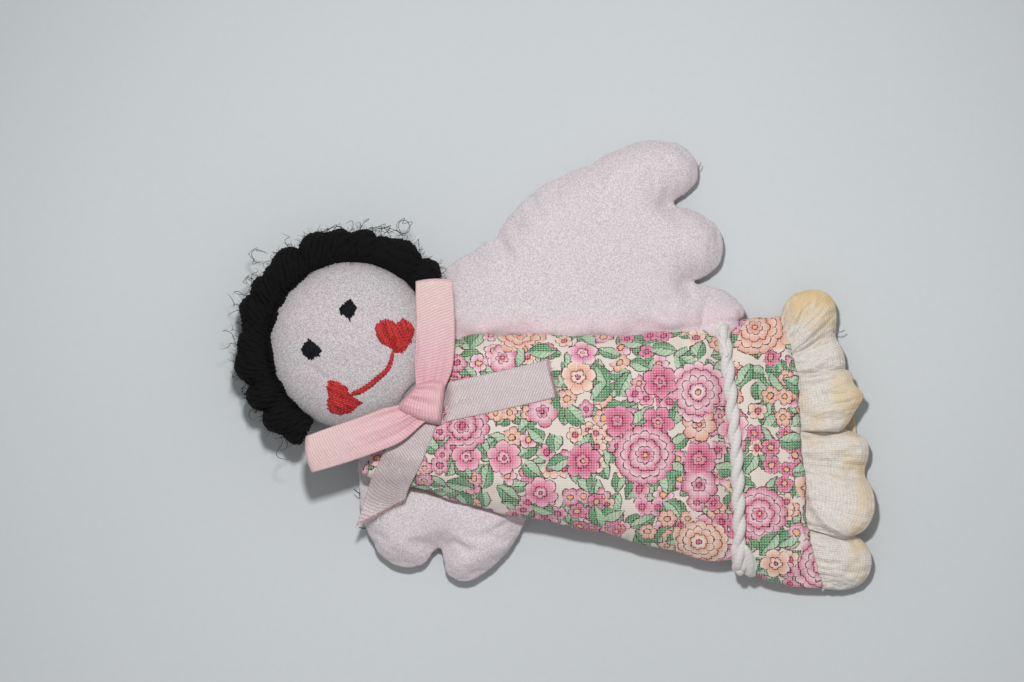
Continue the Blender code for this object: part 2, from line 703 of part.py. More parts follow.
def wing_lid(p, dress_outline):
    """The height that the wings may reach under the dress, the braid, the head and the collar."""
    depth_in = edge_distance(p, dress_outline) * (1 if inside(p, dress_outline) else -1)
    press = min(max((depth_in + WING_PRESS_EDGE) / WING_PRESS_WIDTH, 0.0), 1.0)
    free = WING_SEAM_HEIGHT + WING_LOFT + WING_SEAM_HALF
    height = free + (WING_PRESSED - free) * press * press * (3 - 2 * press)
    left, right = seams(BRAID_AT)
    along = (right - left).normalized()
    end = (right - left).length + WING_BRAID_PAST
    share = min(max((p - left).dot(along), -WING_BRAID_PAST), end)
    beside = (left + along * share - p).length - 2 * BRAID_PLY - BRAID_PLY_OFFSET
    height = min(height, WING_UNDER_BRAID + WING_BRAID_SLOPE * max(beside, 0.0))
    head = head_underside(p.x, p.y)
    return min(height, head - GAP) if head else height


def wing_shape(dress_outline):
    outline = [WINGS.plan(p.x, p.y) for p in arcs(WING_EDGE, 2.6)]

    def top(p, d):
        height = WING_SEAM_HEIGHT + WING_SEAM_HALF + WING_LOFT * round_off(d / WING_ROUNDING)
        return min(height, wing_lid(p, dress_outline))

    def bottom(p, d):
        height = (WING_SEAM_HEIGHT - WING_SEAM_HALF) * (1 - round_off(d / WING_UNDER_ROUNDING))
        return max(0.0, min(height, top(p, d) - 2 * WING_SEAM_HALF))

    return pillow(outline, WING_GRID, top, bottom)


# Ribbon

def collar_shape():
    """The part of the ribbon that is tied round the neck."""
    middle = HEAD_RADIUS - COLLAR_START + COLLAR_WIDTH / 2
    inner = GAP + RIBBON_THICK / 2
    count = 32
    ring = neck_ring(middle, NECK_HALF_WIDTH + inner, NECK_HALF_DEPTH + inner, count)
    centre = sum(ring, Vector((0, 0, 0))) / count
    half = Vector((HEAD.up.x, HEAD.up.y, 0)) * COLLAR_WIDTH / 2
    stations = [(p, half, (p - centre).normalized()) for p in ring]
    return band(stations, RIBBON_THICK, closed=True, across=2)


def ribbon_half_width(s):
    """Half of the ribbon's width at a distance from the knot, where it is pinched."""
    share = min(s / RIBBON_SPREAD, 1.0)
    return RIBBON_WIDTH / 2 * (RIBBON_PINCH + (1 - RIBBON_PINCH) * share * share * (3 - 2 * share))


def loop_shape(route, tree):
    """A loop of the bow: out along the top, round the fold and back underneath."""
    line = evenly(smooth([Vector(p) for p in route], 10), 14)
    spread = LOOP_OPEN / 2
    stations = []
    count = len(line) - 1
    length = sum((b - a).length for a, b in zip(line, line[1:]))

    def station(i, height, normal, forward=0.0):
        along = (line[min(i + 1, count)] - line[max(i - 1, 0)]).normalized()
        side = Vector((-along.y, along.x)) * ribbon_half_width(length * i / count)
        middle = line[i] + along * forward
        return Vector((*middle, height)), Vector((*side, 0)), Vector((*(along * normal[0]), normal[1]))

    for i in range(count):
        stations.append(station(i, RIBBON_THICK / 2 + LOOP_OPEN, (0.0, 1.0)))
    for k in range(1, 6):
        turn = pi / 2 - pi * k / 6
        height = RIBBON_THICK / 2 + spread + spread * sin(turn)
        stations.append(station(count, height, (cos(turn), sin(turn)), spread * cos(turn) - spread))
    for i in reversed(range(count)):
        stations.append(station(i, RIBBON_THICK / 2, (0.0, -1.0)))
    return lay_on(band(stations, RIBBON_THICK), tree, BOW_HEIGHT)


def tail_shape(route, tree, least, slant):
    """A free end of the ribbon, laid over what is under it, with its end cut at a slant."""
    line = evenly(smooth([Vector(p) for p in route], 10), 16)
    count = len(line) - 1
    length = sum((b - a).length for a, b in zip(line, line[1:]))
    stations = []
    for i, p in enumerate(line):
        along = (line[min(i + 1, count)] - line[max(i - 1, 0)]).normalized()
        side = Vector((-along.y, along.x)) * ribbon_half_width(length * i / count)
        side += along * slant * (i / count) ** 3
        stations.append((Vector((*p, RIBBON_THICK / 2)), Vector((*side, 0)), Vector((0, 0, 1))))
    return lay_on(band(stations, RIBBON_THICK, across=6), tree, least)


def lay_on(shape, tree, least):
    """Lifts each point of a ribbon by the height of what it lies on."""
    verts, faces = shape
    laid = []
    for x, y, z in verts:
        level = least(x, y) if callable(least) else least
        laid.append((x, y, z + resting_height(tree, x, y, level)))
    return laid, faces


def knot_shape():
    edge = [(x, y, KNOT_BULGE) for x, y in reversed(KNOT_EDGE)]

    def top(p, d):
        return KNOT_TOP - KNOT_SHOULDER * (1 - round_off(d / KNOT_ROUNDING))

    def bottom(p, d):
        return KNOT_BOTTOM

    return pillow([Vector(p) for p in arcs(edge, 1.6)], 1.9, top, bottom)


def build():
    dress = dress_shape()
    dress_outline = [seams(k / 12)[0] for k in range(13)] + [seams(1 - k / 12)[1] for k in range(13)]
    wings = wing_shape(dress_outline)
    ball = head_ball()
    hair = hair_shape()
    knot = knot_shape()

    head_object = piece("head", ball, CLOTH, 0.9)
    neck = neck_shape(HEAD_RADIUS - NECK_INSIDE, HEAD_RADIUS + NECK_END, 0.0)
    combine(head_object, cutter("neck_tool", neck), 'UNION')
    combine(head_object, cutter("knot_room_in_head", knot, GAP), 'DIFFERENCE')

    hair_object = piece("hair", hair, BLACK_YARN, 0.95)
    combine(hair_object, cutter("head_room_in_hair", ball, GAP), 'DIFFERENCE')
    combine(hair_object, cutter("wing_room_in_hair", wings, GAP), 'DIFFERENCE')

    for side, word in ((-1, "left"), (1, "right")):
        piece("eye_" + word, stitched_pad(eye_outline(side)), BLACK_YARN, 0.6)
        piece("cheek_heart_" + word, stitched_pad(heart_outline(side)), RED_FLOSS, 0.5)
    smile_object = piece("smile", smile_shape(), RED_FLOSS, 0.5)
    for side, word in ((-1, "left"), (1, "right")):
        room = cutter("heart_room_" + word, stitched_pad(heart_outline(side)), GAP)
        combine(smile_object, room, 'DIFFERENCE')

    dress_object = piece("dress", dress, PRINTED_COTTON, 0.9)
    combine(dress_object, cutter("wing_room_in_dress", wings, GAP), 'DIFFERENCE')
    combine(dress_object, cutter("head_room_in_dress", ball, GAP), 'DIFFERENCE')
    collar_room = GAP * 2 + RIBBON_THICK
    pocket_end = max(NECK_END, COLLAR_WIDTH - COLLAR_START) + HEAD_RADIUS + GAP
    pocket = neck_shape(HEAD_RADIUS - NECK_POCKET, pocket_end, collar_room)
    combine(dress_object, cutter("neck_room_in_dress", pocket), 'DIFFERENCE')
    combine(dress_object, cutter("knot_room_in_dress", knot, GAP), 'DIFFERENCE')

    piece("wings", wings, CLOTH, 0.9)

    under_bow = surface_tree([dress, wings, ball, hair])
    ribbon = piece("ribbon_bow", collar_shape(), PINK_SATIN, 0.35)
    combine(ribbon, cutter("knot_tool", knot), 'UNION')
    combine(ribbon, cutter("right_loop_tool", loop_shape(RIGHT_LOOP, under_bow)), 'UNION')
    combine(ribbon, cutter("left_loop_tool", loop_shape(LEFT_LOOP, under_bow)), 'UNION')
    right_tail = tail_shape(RIGHT_TAIL, under_bow, RIGHT_TAIL_LEAST, 0.0)
    combine(ribbon, cutter("right_tail_tool", right_tail), 'UNION')

    def left_tail_level(x, y):
        sunk = LEFT_TAIL_SLOPE * max(0.0, hypot(x, y) - LEFT_TAIL_LEVEL)
        return max(LEFT_TAIL_LEAST, LEFT_TAIL_START - sunk)

    left_tail = tail_shape(LEFT_TAIL, under_bow, left_tail_level, -TAIL_CUT)
    combine(ribbon, cutter("left_tail_tool", left_tail), 'UNION')

    piece("hem_braid", braid_shape(), WHITE_COTTON, 0.8)
    left, right = seams(1.0)
    hem = Frame((left + right) / 2, atan((right.y - left.y) / (right.x - left.x)))
    piece("hem_ruffle", solid_sheet(ruffle_shape(hem), RUFFLE_THICK), CREAM_COTTON, 0.9)


def stand_on_origin():
    """Moves the doll so that the origin is under the middle of its box."""
    bpy.context.view_layer.update()
    graph = bpy.context.evaluated_depsgraph_get()
    corners = []
    for made in bpy.data.objects:
        if made.type == 'MESH' and not made.hide_render:
            shown = made.evaluated_get(graph)
            corners += [shown.matrix_world @ v.co for v in shown.data.vertices]
    lows = [min(c[i] for c in corners) for i in range(3)]
    highs = [max(c[i] for c in corners) for i in range(3)]
    DOLL.location = (-(lows[0] + highs[0]) / 2, -(lows[1] + highs[1]) / 2, -lows[2])


for old in list(bpy.data.objects):
    bpy.data.objects.remove(old, do_unlink=True)
DOLL = bpy.data.objects.new("angel", None)
bpy.context.scene.collection.objects.link(DOLL)
build()
stand_on_origin()
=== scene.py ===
"""The looks of the fabric angel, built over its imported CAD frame."""

from math import cos, exp, pi, radians, sin, sqrt

import bmesh
import bpy
import numpy as np
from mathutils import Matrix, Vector, noise
from mathutils.bvhtree import BVHTree


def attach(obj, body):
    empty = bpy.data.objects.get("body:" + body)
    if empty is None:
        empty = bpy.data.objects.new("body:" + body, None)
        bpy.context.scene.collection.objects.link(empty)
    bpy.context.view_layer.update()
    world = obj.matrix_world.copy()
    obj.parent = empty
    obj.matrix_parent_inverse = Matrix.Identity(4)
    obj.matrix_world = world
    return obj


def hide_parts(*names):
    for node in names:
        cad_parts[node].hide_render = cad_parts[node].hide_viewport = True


MM = 0.001
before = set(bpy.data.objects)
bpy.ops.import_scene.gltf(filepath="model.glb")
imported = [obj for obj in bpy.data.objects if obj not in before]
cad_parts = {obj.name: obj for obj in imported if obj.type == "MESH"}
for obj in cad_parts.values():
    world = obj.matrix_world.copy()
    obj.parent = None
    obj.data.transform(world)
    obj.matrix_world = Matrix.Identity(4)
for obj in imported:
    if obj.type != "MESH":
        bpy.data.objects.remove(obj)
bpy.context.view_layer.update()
scene = bpy.context.scene

# The bow's knot in the row frame. Then the picture: its turn and scale there, where it shows the
# knot, and which ways its up and its right are.
KNOT = Vector((-14.716, 35.458)) * MM
PICTURE_TURN = radians(-82.92)
PICTURE_SCALE = 0.26 * MM
PICTURE_KNOT = (425.0, 402.0)
picture_up = Vector((-sin(PICTURE_TURN), cos(PICTURE_TURN)))
picture_right = Vector((cos(PICTURE_TURN), sin(PICTURE_TURN)))


def spot(px, py):
    """The place on the table that a point of the picture shows."""
    right, down = (px - PICTURE_KNOT[0]) * PICTURE_SCALE, (py - PICTURE_KNOT[1]) * PICTURE_SCALE
    return Vector((KNOT.x + right * cos(PICTURE_TURN) + down * sin(PICTURE_TURN),
                   KNOT.y + right * sin(PICTURE_TURN) - down * cos(PICTURE_TURN)))


def picture_place(points):
    """The picture points that show some places, as two arrays."""
    x, y = points[:, 0] - KNOT.x, points[:, 1] - KNOT.y
    right = x * cos(PICTURE_TURN) + y * sin(PICTURE_TURN)
    down = x * sin(PICTURE_TURN) - y * cos(PICTURE_TURN)
    return PICTURE_KNOT[0] + right / PICTURE_SCALE, PICTURE_KNOT[1] + down / PICTURE_SCALE


# Nodes

class Value:
    """A socket that numbers and other sockets combine with by the usual operators."""

    def __init__(self, graph, socket):
        self.graph = graph
        self.socket = socket

    def __add__(self, other):
        return self.graph.math("ADD", self, other)

    def __radd__(self, other):
        return self.graph.math("ADD", other, self)

    def __sub__(self, other):
        return self.graph.math("SUBTRACT", self, other)

    def __rsub__(self, other):
        return self.graph.math("SUBTRACT", other, self)

    def __mul__(self, other):
        return self.graph.math("MULTIPLY", self, other)

    def __rmul__(self, other):
        return self.graph.math("MULTIPLY", other, self)

    def __truediv__(self, other):
        return self.graph.math("DIVIDE", self, other)

    def __rtruediv__(self, other):
        return self.graph.math("DIVIDE", other, self)

    def __pow__(self, other):
        return self.graph.math("POWER", self, other)

    def __mod__(self, other):
        return self.graph.math("FLOORED_MODULO", self, other)

    def __abs__(self):
        return self.graph.math("ABSOLUTE", self)


class Graph:
    """The nodes of one tree."""

    def __init__(self, tree):
        self.tree = tree

    def node(self, kind, settings=None, inputs=None, out=0):
        """Adds a node: first its settings, then the values or links of its sockets."""
        made = self.tree.nodes.new(kind)
        for name, value in (settings or {}).items():
            if name == "stops":
                self.ramp(made.color_ramp, value)
            else:
                setattr(made, name, value)
        for name, value in (inputs or {}).items():
            self.plug(made.inputs[name], value)
        if isinstance(out, tuple):
            return tuple(Value(self, made.outputs[name]) for name in out)
        return Value(self, made.outputs[out]) if len(made.outputs) else made

    def plug(self, socket, value):
        if isinstance(value, Value):
            self.tree.links.new(value.socket, socket)
        else:
            socket.default_value = value

    def ramp(self, ramp, stops):
        while len(ramp.elements) < len(stops):
            ramp.elements.new(0.5)
        for element, (place, colour) in zip(ramp.elements, stops):
            element.position = place
            element.color = colour

    def math(self, operation, *values):
        return self.node("ShaderNodeMath", {"operation": operation}, dict(enumerate(values)))

    def vector(self, operation, *values, scale=None):
        inputs = dict(enumerate(values))
        if scale is not None:
            inputs["Scale"] = scale
        return self.node("ShaderNodeVectorMath", {"operation": operation}, inputs)

    def combine(self, x, y, z=0.0):
        return self.node("ShaderNodeCombineXYZ", None, {0: x, 1: y, 2: z})

    def separate(self, vector):
        return self.node("ShaderNodeSeparateXYZ", None, {0: vector}, ("X", "Y", "Z"))

    def clamp(self, value):
        return self.node("ShaderNodeClamp", None, {0: value})

    def mix(self, factor, first, second):
        settings = {"data_type": "RGBA"}
        return self.node("ShaderNodeMix", settings, {0: factor, 6: first, 7: second}, 2)

    def step(self, value, width):
        """0 below zero and 1 above it, with a soft edge of that width."""
        return self.clamp(value / width + 0.5)

    def line(self, distance, width):
        """1 where a distance is near zero, fading out over the width."""
        return self.clamp(1.5 - abs(distance) / width)

    def noise(self, place, scale, detail=2.0, rough=0.5, distortion=0.0):
        inputs = {"Vector": place, "Scale": scale, "Detail": detail, "Roughness": rough,
                  "Distortion": distortion}
        return self.node("ShaderNodeTexNoise", None, inputs)


def paint(red, green, blue):
    """A colour given as a painter's 0 to 255 values."""
    def linear(value):
        share = value / 255
        return share / 12.92 if share < 0.04045 else ((share + 0.055) / 1.055) ** 2.4
    return (linear(red), linear(green), linear(blue), 1.0)


class Finish(Graph):
    """A material with one Principled surface."""

    def __init__(self, name, roughness, sheen=0.0, specular=0.3):
        self.material = bpy.data.materials.new(name)
        self.material.use_nodes = True
        super().__init__(self.material.node_tree)
        self.surface = self.tree.nodes["Principled BSDF"]
        self.set("Roughness", roughness)
        self.set("Sheen Weight", sheen)
        self.set("Sheen Roughness", 0.5)
        self.set("Specular IOR Level", specular)

    def set(self, name, value):
        self.plug(self.surface.inputs[name], value)

    def relief(self, height, depth):
        """Raises the surface by a height from 0 to 1 times a depth in metres."""
        inputs = {"Height": height, "Distance": depth}
        self.set("Normal", self.node("ShaderNodeBump", None, inputs))

    def place(self):
        """Where a point of the piece lies, in metres."""
        return self.node("ShaderNodeTexCoord", out="Object")

    def cut_place(self):
        """Where a point lay on the flat cloth before it was sewn, in metres."""
        return self.node("ShaderNodeUVMap", {"uv_map": "cut"})

    def own(self, name):
        """A number that the piece keeps at each point."""
        return self.node("ShaderNodeAttribute", {"attribute_name": name}, out="Fac")


# Objects

def new_object(name, mesh):
    made = bpy.data.objects.new(name, mesh)
    scene.collection.objects.link(made)
    return made


def baked(obj):
    """Replaces an object's mesh by what its modifiers make of it."""
    graph = bpy.context.evaluated_depsgraph_get()
    graph.update()
    mesh = bpy.data.meshes.new_from_object(obj.evaluated_get(graph), depsgraph=graph)
    obj.modifiers.clear()
    obj.data = mesh
    return obj


def points_of(mesh, what="co"):
    flat = np.empty(len(mesh.vertices) * 3)
    mesh.vertices.foreach_get(what, flat)
    return flat.reshape(-1, 3)


def skin_of(piece):
    """A piece's points and its normals there, as two arrays."""
    return points_of(piece.data), points_of(piece.data, "normal")


def move_points(mesh, points):
    mesh.vertices.foreach_set("co", np.ascontiguousarray(points, dtype=np.float32).ravel())
    mesh.update()


def keep_number(mesh, name, values):
    attribute = mesh.attributes.new(name, "FLOAT", "POINT")
    attribute.data.foreach_set("value", np.asarray(values, dtype=np.float32))


def keep_cut(mesh, places):
    """Stores each point's place on the flat cloth as a UV map in metres."""
    layer = mesh.uv_layers.new(name="cut")
    loops = np.empty(len(mesh.loops), dtype=np.int32)
    mesh.loops.foreach_get("vertex_index", loops)
    layer.data.foreach_set("uv", np.asarray(places, dtype=np.float32)[loops].ravel())


def dress_up(piece, node, finish):
    """Gives a piece its finish and its body, and hides the CAD node that it stands for."""
    if finish is not None:
        piece.data.materials.clear()
        piece.data.materials.append(finish.material)
    for polygon in piece.data.polygons:
        polygon.use_smooth = True
    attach(piece, "root")
    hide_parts(node)
    return piece


def ripple(points, scale, seed):
    """Smooth random numbers from -1 to 1 over the points, one wave about 1/scale metres long."""
    shift = Vector((seed * 7.3, seed * 3.1, seed * 5.7))
    return np.array([noise.noise(Vector(p) * scale + shift) for p in points])


def soft_copy(node, voxel, relax=3):
    """A copy of a CAD solid with an even skin that cloth can follow."""
    piece = new_object(node + "_cloth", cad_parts[node].data.copy())
    work = bmesh.new()
    work.from_mesh(piece.data)
    bmesh.ops.remove_doubles(work, verts=work.verts, dist=0.002 * MM)
    work.to_mesh(piece.data)
    work.free()
    even = piece.modifiers.new("even skin", "REMESH")
    even.mode = "VOXEL"
    even.voxel_size = voxel
    calm = piece.modifiers.new("calm", "SMOOTH")
    calm.iterations = relax
    calm.factor = 0.5
    return baked(piece)


def plump(piece, held, reach, slack=0.03):
    """Fills a piece by air pressure while its seam is held; no point moves past reach."""
    larger = 10.0
    rest = points_of(piece.data)
    move_points(piece.data, rest * larger)
    group = piece.vertex_groups.new(name="seam")
    for index, weight in enumerate(held):
        group.add([index], float(weight), "REPLACE")
    cloth = piece.modifiers.new("cloth", "CLOTH")
    settings = cloth.settings
    settings.quality = 5
    settings.mass = 0.3
    settings.tension_stiffness = 15
    settings.compression_stiffness = 15
    settings.bending_stiffness = 0.3
    settings.use_pressure = True
    settings.uniform_pressure_force = 4
    settings.shrink_min = -slack
    settings.shrink_max = -slack
    settings.effector_weights.gravity = 0
    settings.vertex_group_mass = "seam"
    cloth.collision_settings.use_collision = False
    for number in range(1, 21):
        scene.frame_set(number)
    baked(piece)
    scene.frame_set(1)
    moved = points_of(piece.data) / larger - rest
    length = np.linalg.norm(moved, axis=1, keepdims=True)
    moved *= np.minimum(1.0, reach / np.maximum(length, 1e-9))
    move_points(piece.data, rest + moved)
    piece.vertex_groups.clear()
    return piece


def subdivide(piece):
    finer = piece.modifiers.new("finer", "SUBSURF")
    finer.levels = finer.render_levels = 1
    return baked(piece)


def tree_of(*pieces):
    """What a ray meets on some pieces."""
    points, faces = [], []
    for piece in pieces:
        start = len(points)
        points += [v.co.copy() for v in piece.data.vertices]
        faces += [tuple(start + i for i in f.vertices) for f in piece.data.polygons]
    return BVHTree.FromPolygons(points, faces)


def height_over(tree, x, y, least=0.0):
    """The height of the top over a place, or the least one where there is nothing."""
    hit = tree.ray_cast(Vector((x, y, 0.2)), Vector((0, 0, -1)))[0]
    return max(hit.z, least) if hit else least


# Repeated parts

class Shaper(Graph):
    """A Geometry Nodes tree with named inputs."""

    def __init__(self, name, sockets):
        super().__init__(bpy.data.node_groups.new(name, "GeometryNodeTree"))
        face = self.tree.interface
        every = [("Geometry", "Geometry", None), *sockets, ("Material", "Material", None)]
        for name, kind, value in every:
            made = face.new_socket(name, in_out="INPUT", socket_type="NodeSocket" + kind)
            if value is not None:
                made.default_value = value
        face.new_socket("Geometry", in_out="OUTPUT", socket_type="NodeSocketGeometry")
        entry = self.tree.nodes.new("NodeGroupInput")
        self.given = {name: Value(self, socket) for name, socket in entry.outputs.items()}

    def end(self, shape):
        """Makes real geometry of a shape, with the given material, and ends the tree."""
        shape = self.node("GeometryNodeRealizeInstances", None, {"Geometry": shape})
        shape = self.node("GeometryNodeSetMaterial", None,
                          {"Geometry": shape, "Material": self.given["Material"]})
        self.node("NodeGroupOutput", None, {"Geometry": shape})
        return self.tree


def yarn_tree():
    """Turns lines into yarn: some plies twisted round each line, thinner at its ends."""
    g = Shaper("Twisted yarn", [
        ("Plies", "Int", 2), ("Ply radius", "Float", 0.5 * MM), ("Ply offset", "Float", 0.4 * MM),
        ("Half turn", "Float", 3 * MM), ("Spacing", "Float", 0.5 * MM), ("Sides", "Int", 6),
        ("Taper", "Float", 1 * MM), ("Thin", "Float", 0.5)])
    given = g.given
    line = g.node("GeometryNodeMeshToCurve", None, {"Mesh": given["Geometry"]})
    line = g.node("GeometryNodeResampleCurve", {"mode": "LENGTH"},
                  {"Curve": line, "Length": given["Spacing"]})
    whole = g.node("GeometryNodeSplineLength", out="Length")
    plies, ply = g.node("GeometryNodeDuplicateElements", {"domain": "SPLINE"},
                        {"Geometry": line, "Amount": given["Plies"]}, ("Geometry", "Duplicate Index"))
    along = g.node("GeometryNodeSplineParameter", out="Length")
    turn = along * pi / given["Half turn"] + ply * 2 * pi / given["Plies"]
    forward = g.node("GeometryNodeInputTangent")
    side = g.node("GeometryNodeInputNormal")
    up = g.vector("CROSS_PRODUCT", forward, side)
    sideways = g.vector("SCALE", side, scale=g.math("COSINE", turn) * given["Ply offset"])
    upwards = g.vector("SCALE", up, scale=g.math("SINE", turn) * given["Ply offset"])
    offset = g.vector("ADD", sideways, upwards)
    plies = g.node("GeometryNodeStoreNamedAttribute", {"data_type": "FLOAT", "domain": "POINT"},
                   {"Geometry": plies, "Name": "along", "Value": along})
    chance = g.node("FunctionNodeRandomValue", {"data_type": "FLOAT"}, {2: 0.0, 3: 1.0, "Seed": 3}, 1)
    plies = g.node("GeometryNodeStoreNamedAttribute", {"data_type": "FLOAT", "domain": "CURVE"},
                   {"Geometry": plies, "Name": "strand", "Value": chance})
    plies = g.node("GeometryNodeSetPosition", None, {"Geometry": plies, "Offset": offset})
    to_end = g.math("MINIMUM", along, whole - along)
    fullness = g.clamp(to_end / given["Taper"])
    size = given["Thin"] + (1 - given["Thin"]) * fullness
    ring = g.node("GeometryNodeCurvePrimitiveCircle", {"mode": "RADIUS"},
                  {"Resolution": given["Sides"], "Radius": given["Ply radius"]})
    swept = {"Curve": plies, "Profile Curve": ring, "Fill Caps": True}
    sweep = g.tree.nodes.new("GeometryNodeCurveToMesh")
    if "Scale" in sweep.inputs:
        swept["Scale"] = size
    else:
        swept["Curve"] = g.node("GeometryNodeSetCurveRadius", None, {"Curve": plies, "Radius": size})
    for name, value in swept.items():
        g.plug(sweep.inputs[name], value)
    return g.end(g.node("GeometryNodeSetShadeSmooth", None, {"Geometry": Value(g, sweep.outputs[0])}))


def fuzz_tree():
    """Scatters short curved fibres over a surface."""
    g = Shaper("Fuzz", [
        ("Density", "Float", 1e6), ("Length", "Float", 1 * MM), ("Radius", "Float", 0.03 * MM),
        ("Lean", "Float", 0.8), ("Seed", "Int", 1)])
    given = g.given
    points, turned = g.node("GeometryNodeDistributePointsOnFaces", {"distribute_method": "RANDOM"},
                            {"Mesh": given["Geometry"], "Density": given["Density"],
                             "Seed": given["Seed"]},
                            ("Points", "Rotation"))
    bow = g.node("GeometryNodeCurveQuadraticBezier", None,
                 {"Resolution": 2, "Start": (0, 0, 0), "Middle": (0.1, 0.0, 0.6),
                  "End": (0.5, 0.15, 0.9)}, "Curve")
    bow = g.node("GeometryNodeTransform", None,
                 {"Geometry": bow,
                  "Scale": g.combine(given["Length"], given["Length"], given["Length"])})
    ring = g.node("GeometryNodeCurvePrimitiveCircle", {"mode": "RADIUS"},
                  {"Resolution": 3, "Radius": given["Radius"]})
    fibre = g.node("GeometryNodeCurveToMesh", None,
                   {"Curve": bow, "Profile Curve": ring, "Fill Caps": True})
    tilt = g.node("FunctionNodeRandomValue", {"data_type": "FLOAT_VECTOR"},
                  {0: g.combine(given["Lean"] * -1, given["Lean"] * -1, -3.1),
                   1: g.combine(given["Lean"], given["Lean"], 3.1), "Seed": given["Seed"]})
    size = g.node("FunctionNodeRandomValue", {"data_type": "FLOAT"},
                  {2: 0.4, 3: 1.3, "Seed": given["Seed"]}, 1)
    turned = g.node("FunctionNodeRotateRotation", {"rotation_space": "LOCAL"},
                    {"Rotation": turned, "Rotate By": tilt})
    placed = g.node("GeometryNodeInstanceOnPoints", None,
                    {"Points": points, "Instance": fibre, "Rotation": turned, "Scale": size})
    return g.end(placed)


def lines_mesh(name, lines):
    """A mesh of separate lines, one edge to each step."""
    points, edges = [], []
    for line in lines:
        start = len(points)
        points += [tuple(p) for p in line]
        edges += [(i, i + 1) for i in range(start, len(points) - 1)]
    mesh = bpy.data.meshes.new(name)
    mesh.from_pydata(points, edges, [])
    return mesh


def grown(name, mesh, tree, **inputs):
    """A new plain object made by a node tree from a mesh, with the tree's inputs by name."""
    piece = new_object(name, mesh)
    modifier = piece.modifiers.new(tree.name, "NODES")
    modifier.node_group = tree
    for item in tree.interface.items_tree:
        key = item.name.lower().replace(" ", "_")
        if item.in_out == "INPUT" and key in inputs:
            modifier[item.identifier] = inputs[key]
    return baked(piece)


YARN = yarn_tree()
FUZZ = fuzz_tree()


def twisted(name, lines, finish, plies, radius, offset, half_turn, spacing, sides, taper, thin):
    """Yarn, cord or thread along some lines; its lengths are in mm."""
    return grown(name, lines_mesh(name + " lines", lines), YARN, plies=plies, ply_radius=radius * MM,
                 ply_offset=offset * MM, half_turn=half_turn * MM, spacing=spacing * MM, sides=sides,
                 taper=taper * MM, thin=thin, material=finish.material)


# Finishes

def crepe_finish(name, pale, grey):
    """Pale crepe cloth: a fine pebbled weave with pink blotches at random, and a pink painted shade
    towards its seams and low sides.
    """
    f = Finish(name, roughness=0.85, sheen=0.25, specular=0.2)
    place = f.place()
    pebbles = f.noise(place, 3000.0, detail=2.0, rough=0.6, distortion=0.8)
    cloud = f.noise(place, 60.0, detail=2.0)
    pink = paint(234, 194, 205)
    colour = f.mix(f.clamp((pebbles - 0.42) * 6.0), grey, pale)
    # pink painted shade by the seam-shade weight, mixed with random pink blotches from the cloud noise
    pink_shade_and_blotches = f.clamp(f.own("near_seam") * 0.5 + (cloud - 0.42) * 0.7)
    colour = f.mix(pink_shade_and_blotches * 0.6, colour, pink)
    f.set("Base Color", colour)
    f.set("Roughness", 0.78 + 0.14 * pebbles)
    f.relief(pebbles, 0.05 * MM)
    return f


def yarn_finish(name, dark, light, pitch, gloss=0.9, contrast=0.6, varied=0.0, depth=0.08 * MM,
                sheen=0.15):
    """Spun yarn or thread: fine fibres that lie at a slant along it, with painted highlight and shade
    in light and dark stripes along its twist and on whole strands at random.
    """
    f = Finish(name, roughness=gloss, sheen=sheen, specular=0.25)
    place = f.place()
    along = f.own("along")
    fibres = f.noise(place, 2600.0, detail=3.0, rough=0.7)
    # the light and dark stripes along the twist, and varied on whole strands, are painted highlight and
    # shade over the fibres' own tone
    strand = f.math("SINE", along * (2 * pi / pitch) + fibres * 6.0) * 0.5 + 0.5
    shade = strand * contrast + (fibres - 0.4) * 1.4 + (f.own("strand") - 0.5) * varied
    f.set("Base Color", f.mix(f.clamp(shade), dark, light))
    f.relief(strand * 0.5 + fibres, depth)
    return f


def satin_finish(name, sheer):
    """Ribbon with fine slanting ribs, pinker near the knot and creamier at its ends."""
    f = Finish(name, roughness=0.5, sheen=0.2, specular=0.45)
    across, along, _ = f.separate(f.cut_place())
    uneven = f.noise(f.place(), 380.0, detail=3.0)
    glint = f.clamp((f.noise(f.place(), 2400.0, detail=1.0) - 0.56) * 5)
    lean = -0.57 if sheer else 0.3
    slant = along * 0.82 + across * lean + (uneven - 0.5) * 0.6 * MM
    ribs = f.math("SINE", slant * (2 * pi / (0.62 * MM))) * 0.5 + 0.5
    fine = f.math("SINE", (along * 0.5 - across * 0.86) * (2 * pi / (0.5 * MM))) * 0.5 + 0.5
    thread = f.clamp(ribs * 0.42 + fine * 0.14 + uneven * 0.36 + glint * 0.5)
    tone = f.clamp((along - 6 * MM) / (20 * MM))
    bright = f.mix(tone, paint(236, 194, 199), paint(234, 208, 204))
    deep = f.mix(tone, paint(200, 134, 146), paint(198, 158, 158))
    if sheer:
        bright, deep = paint(226, 212, 212), paint(190, 172, 174)
        f.set("Alpha", f.clamp(0.62 + 0.45 * thread))
    f.set("Base Color", f.mix(thread, deep, bright))
    f.set("Roughness", 0.4 + 0.2 * uneven)
    f.relief(thread, 0.05 * MM)
    return f


def petal_ring(f, colour, polar, petals, reach, start, tints, ink, width, shift):
    """Paints one ring of rounded petals with dark outlines over a colour."""
    radius, angle = polar
    wave = abs(f.math("COSINE", angle * petals * 0.5 + shift))
    rim = reach * (1.0 - 1.7 / petals * (1.0 - wave ** 0.6))
    within = f.step(rim - radius, 0.02)
    share = f.clamp((radius - start) / (reach - start))
    colour = f.mix(within, colour, f.mix(share ** 1.2, tints[0], tints[1]))
    edge = f.line(radius - rim, width)
    between = (f.line(wave * radius * 2 / petals, width * 0.6) * within
               * f.step(radius - start - 0.03, 0.02))
    return f.mix(f.clamp(edge + between * 0.45), colour, ink)


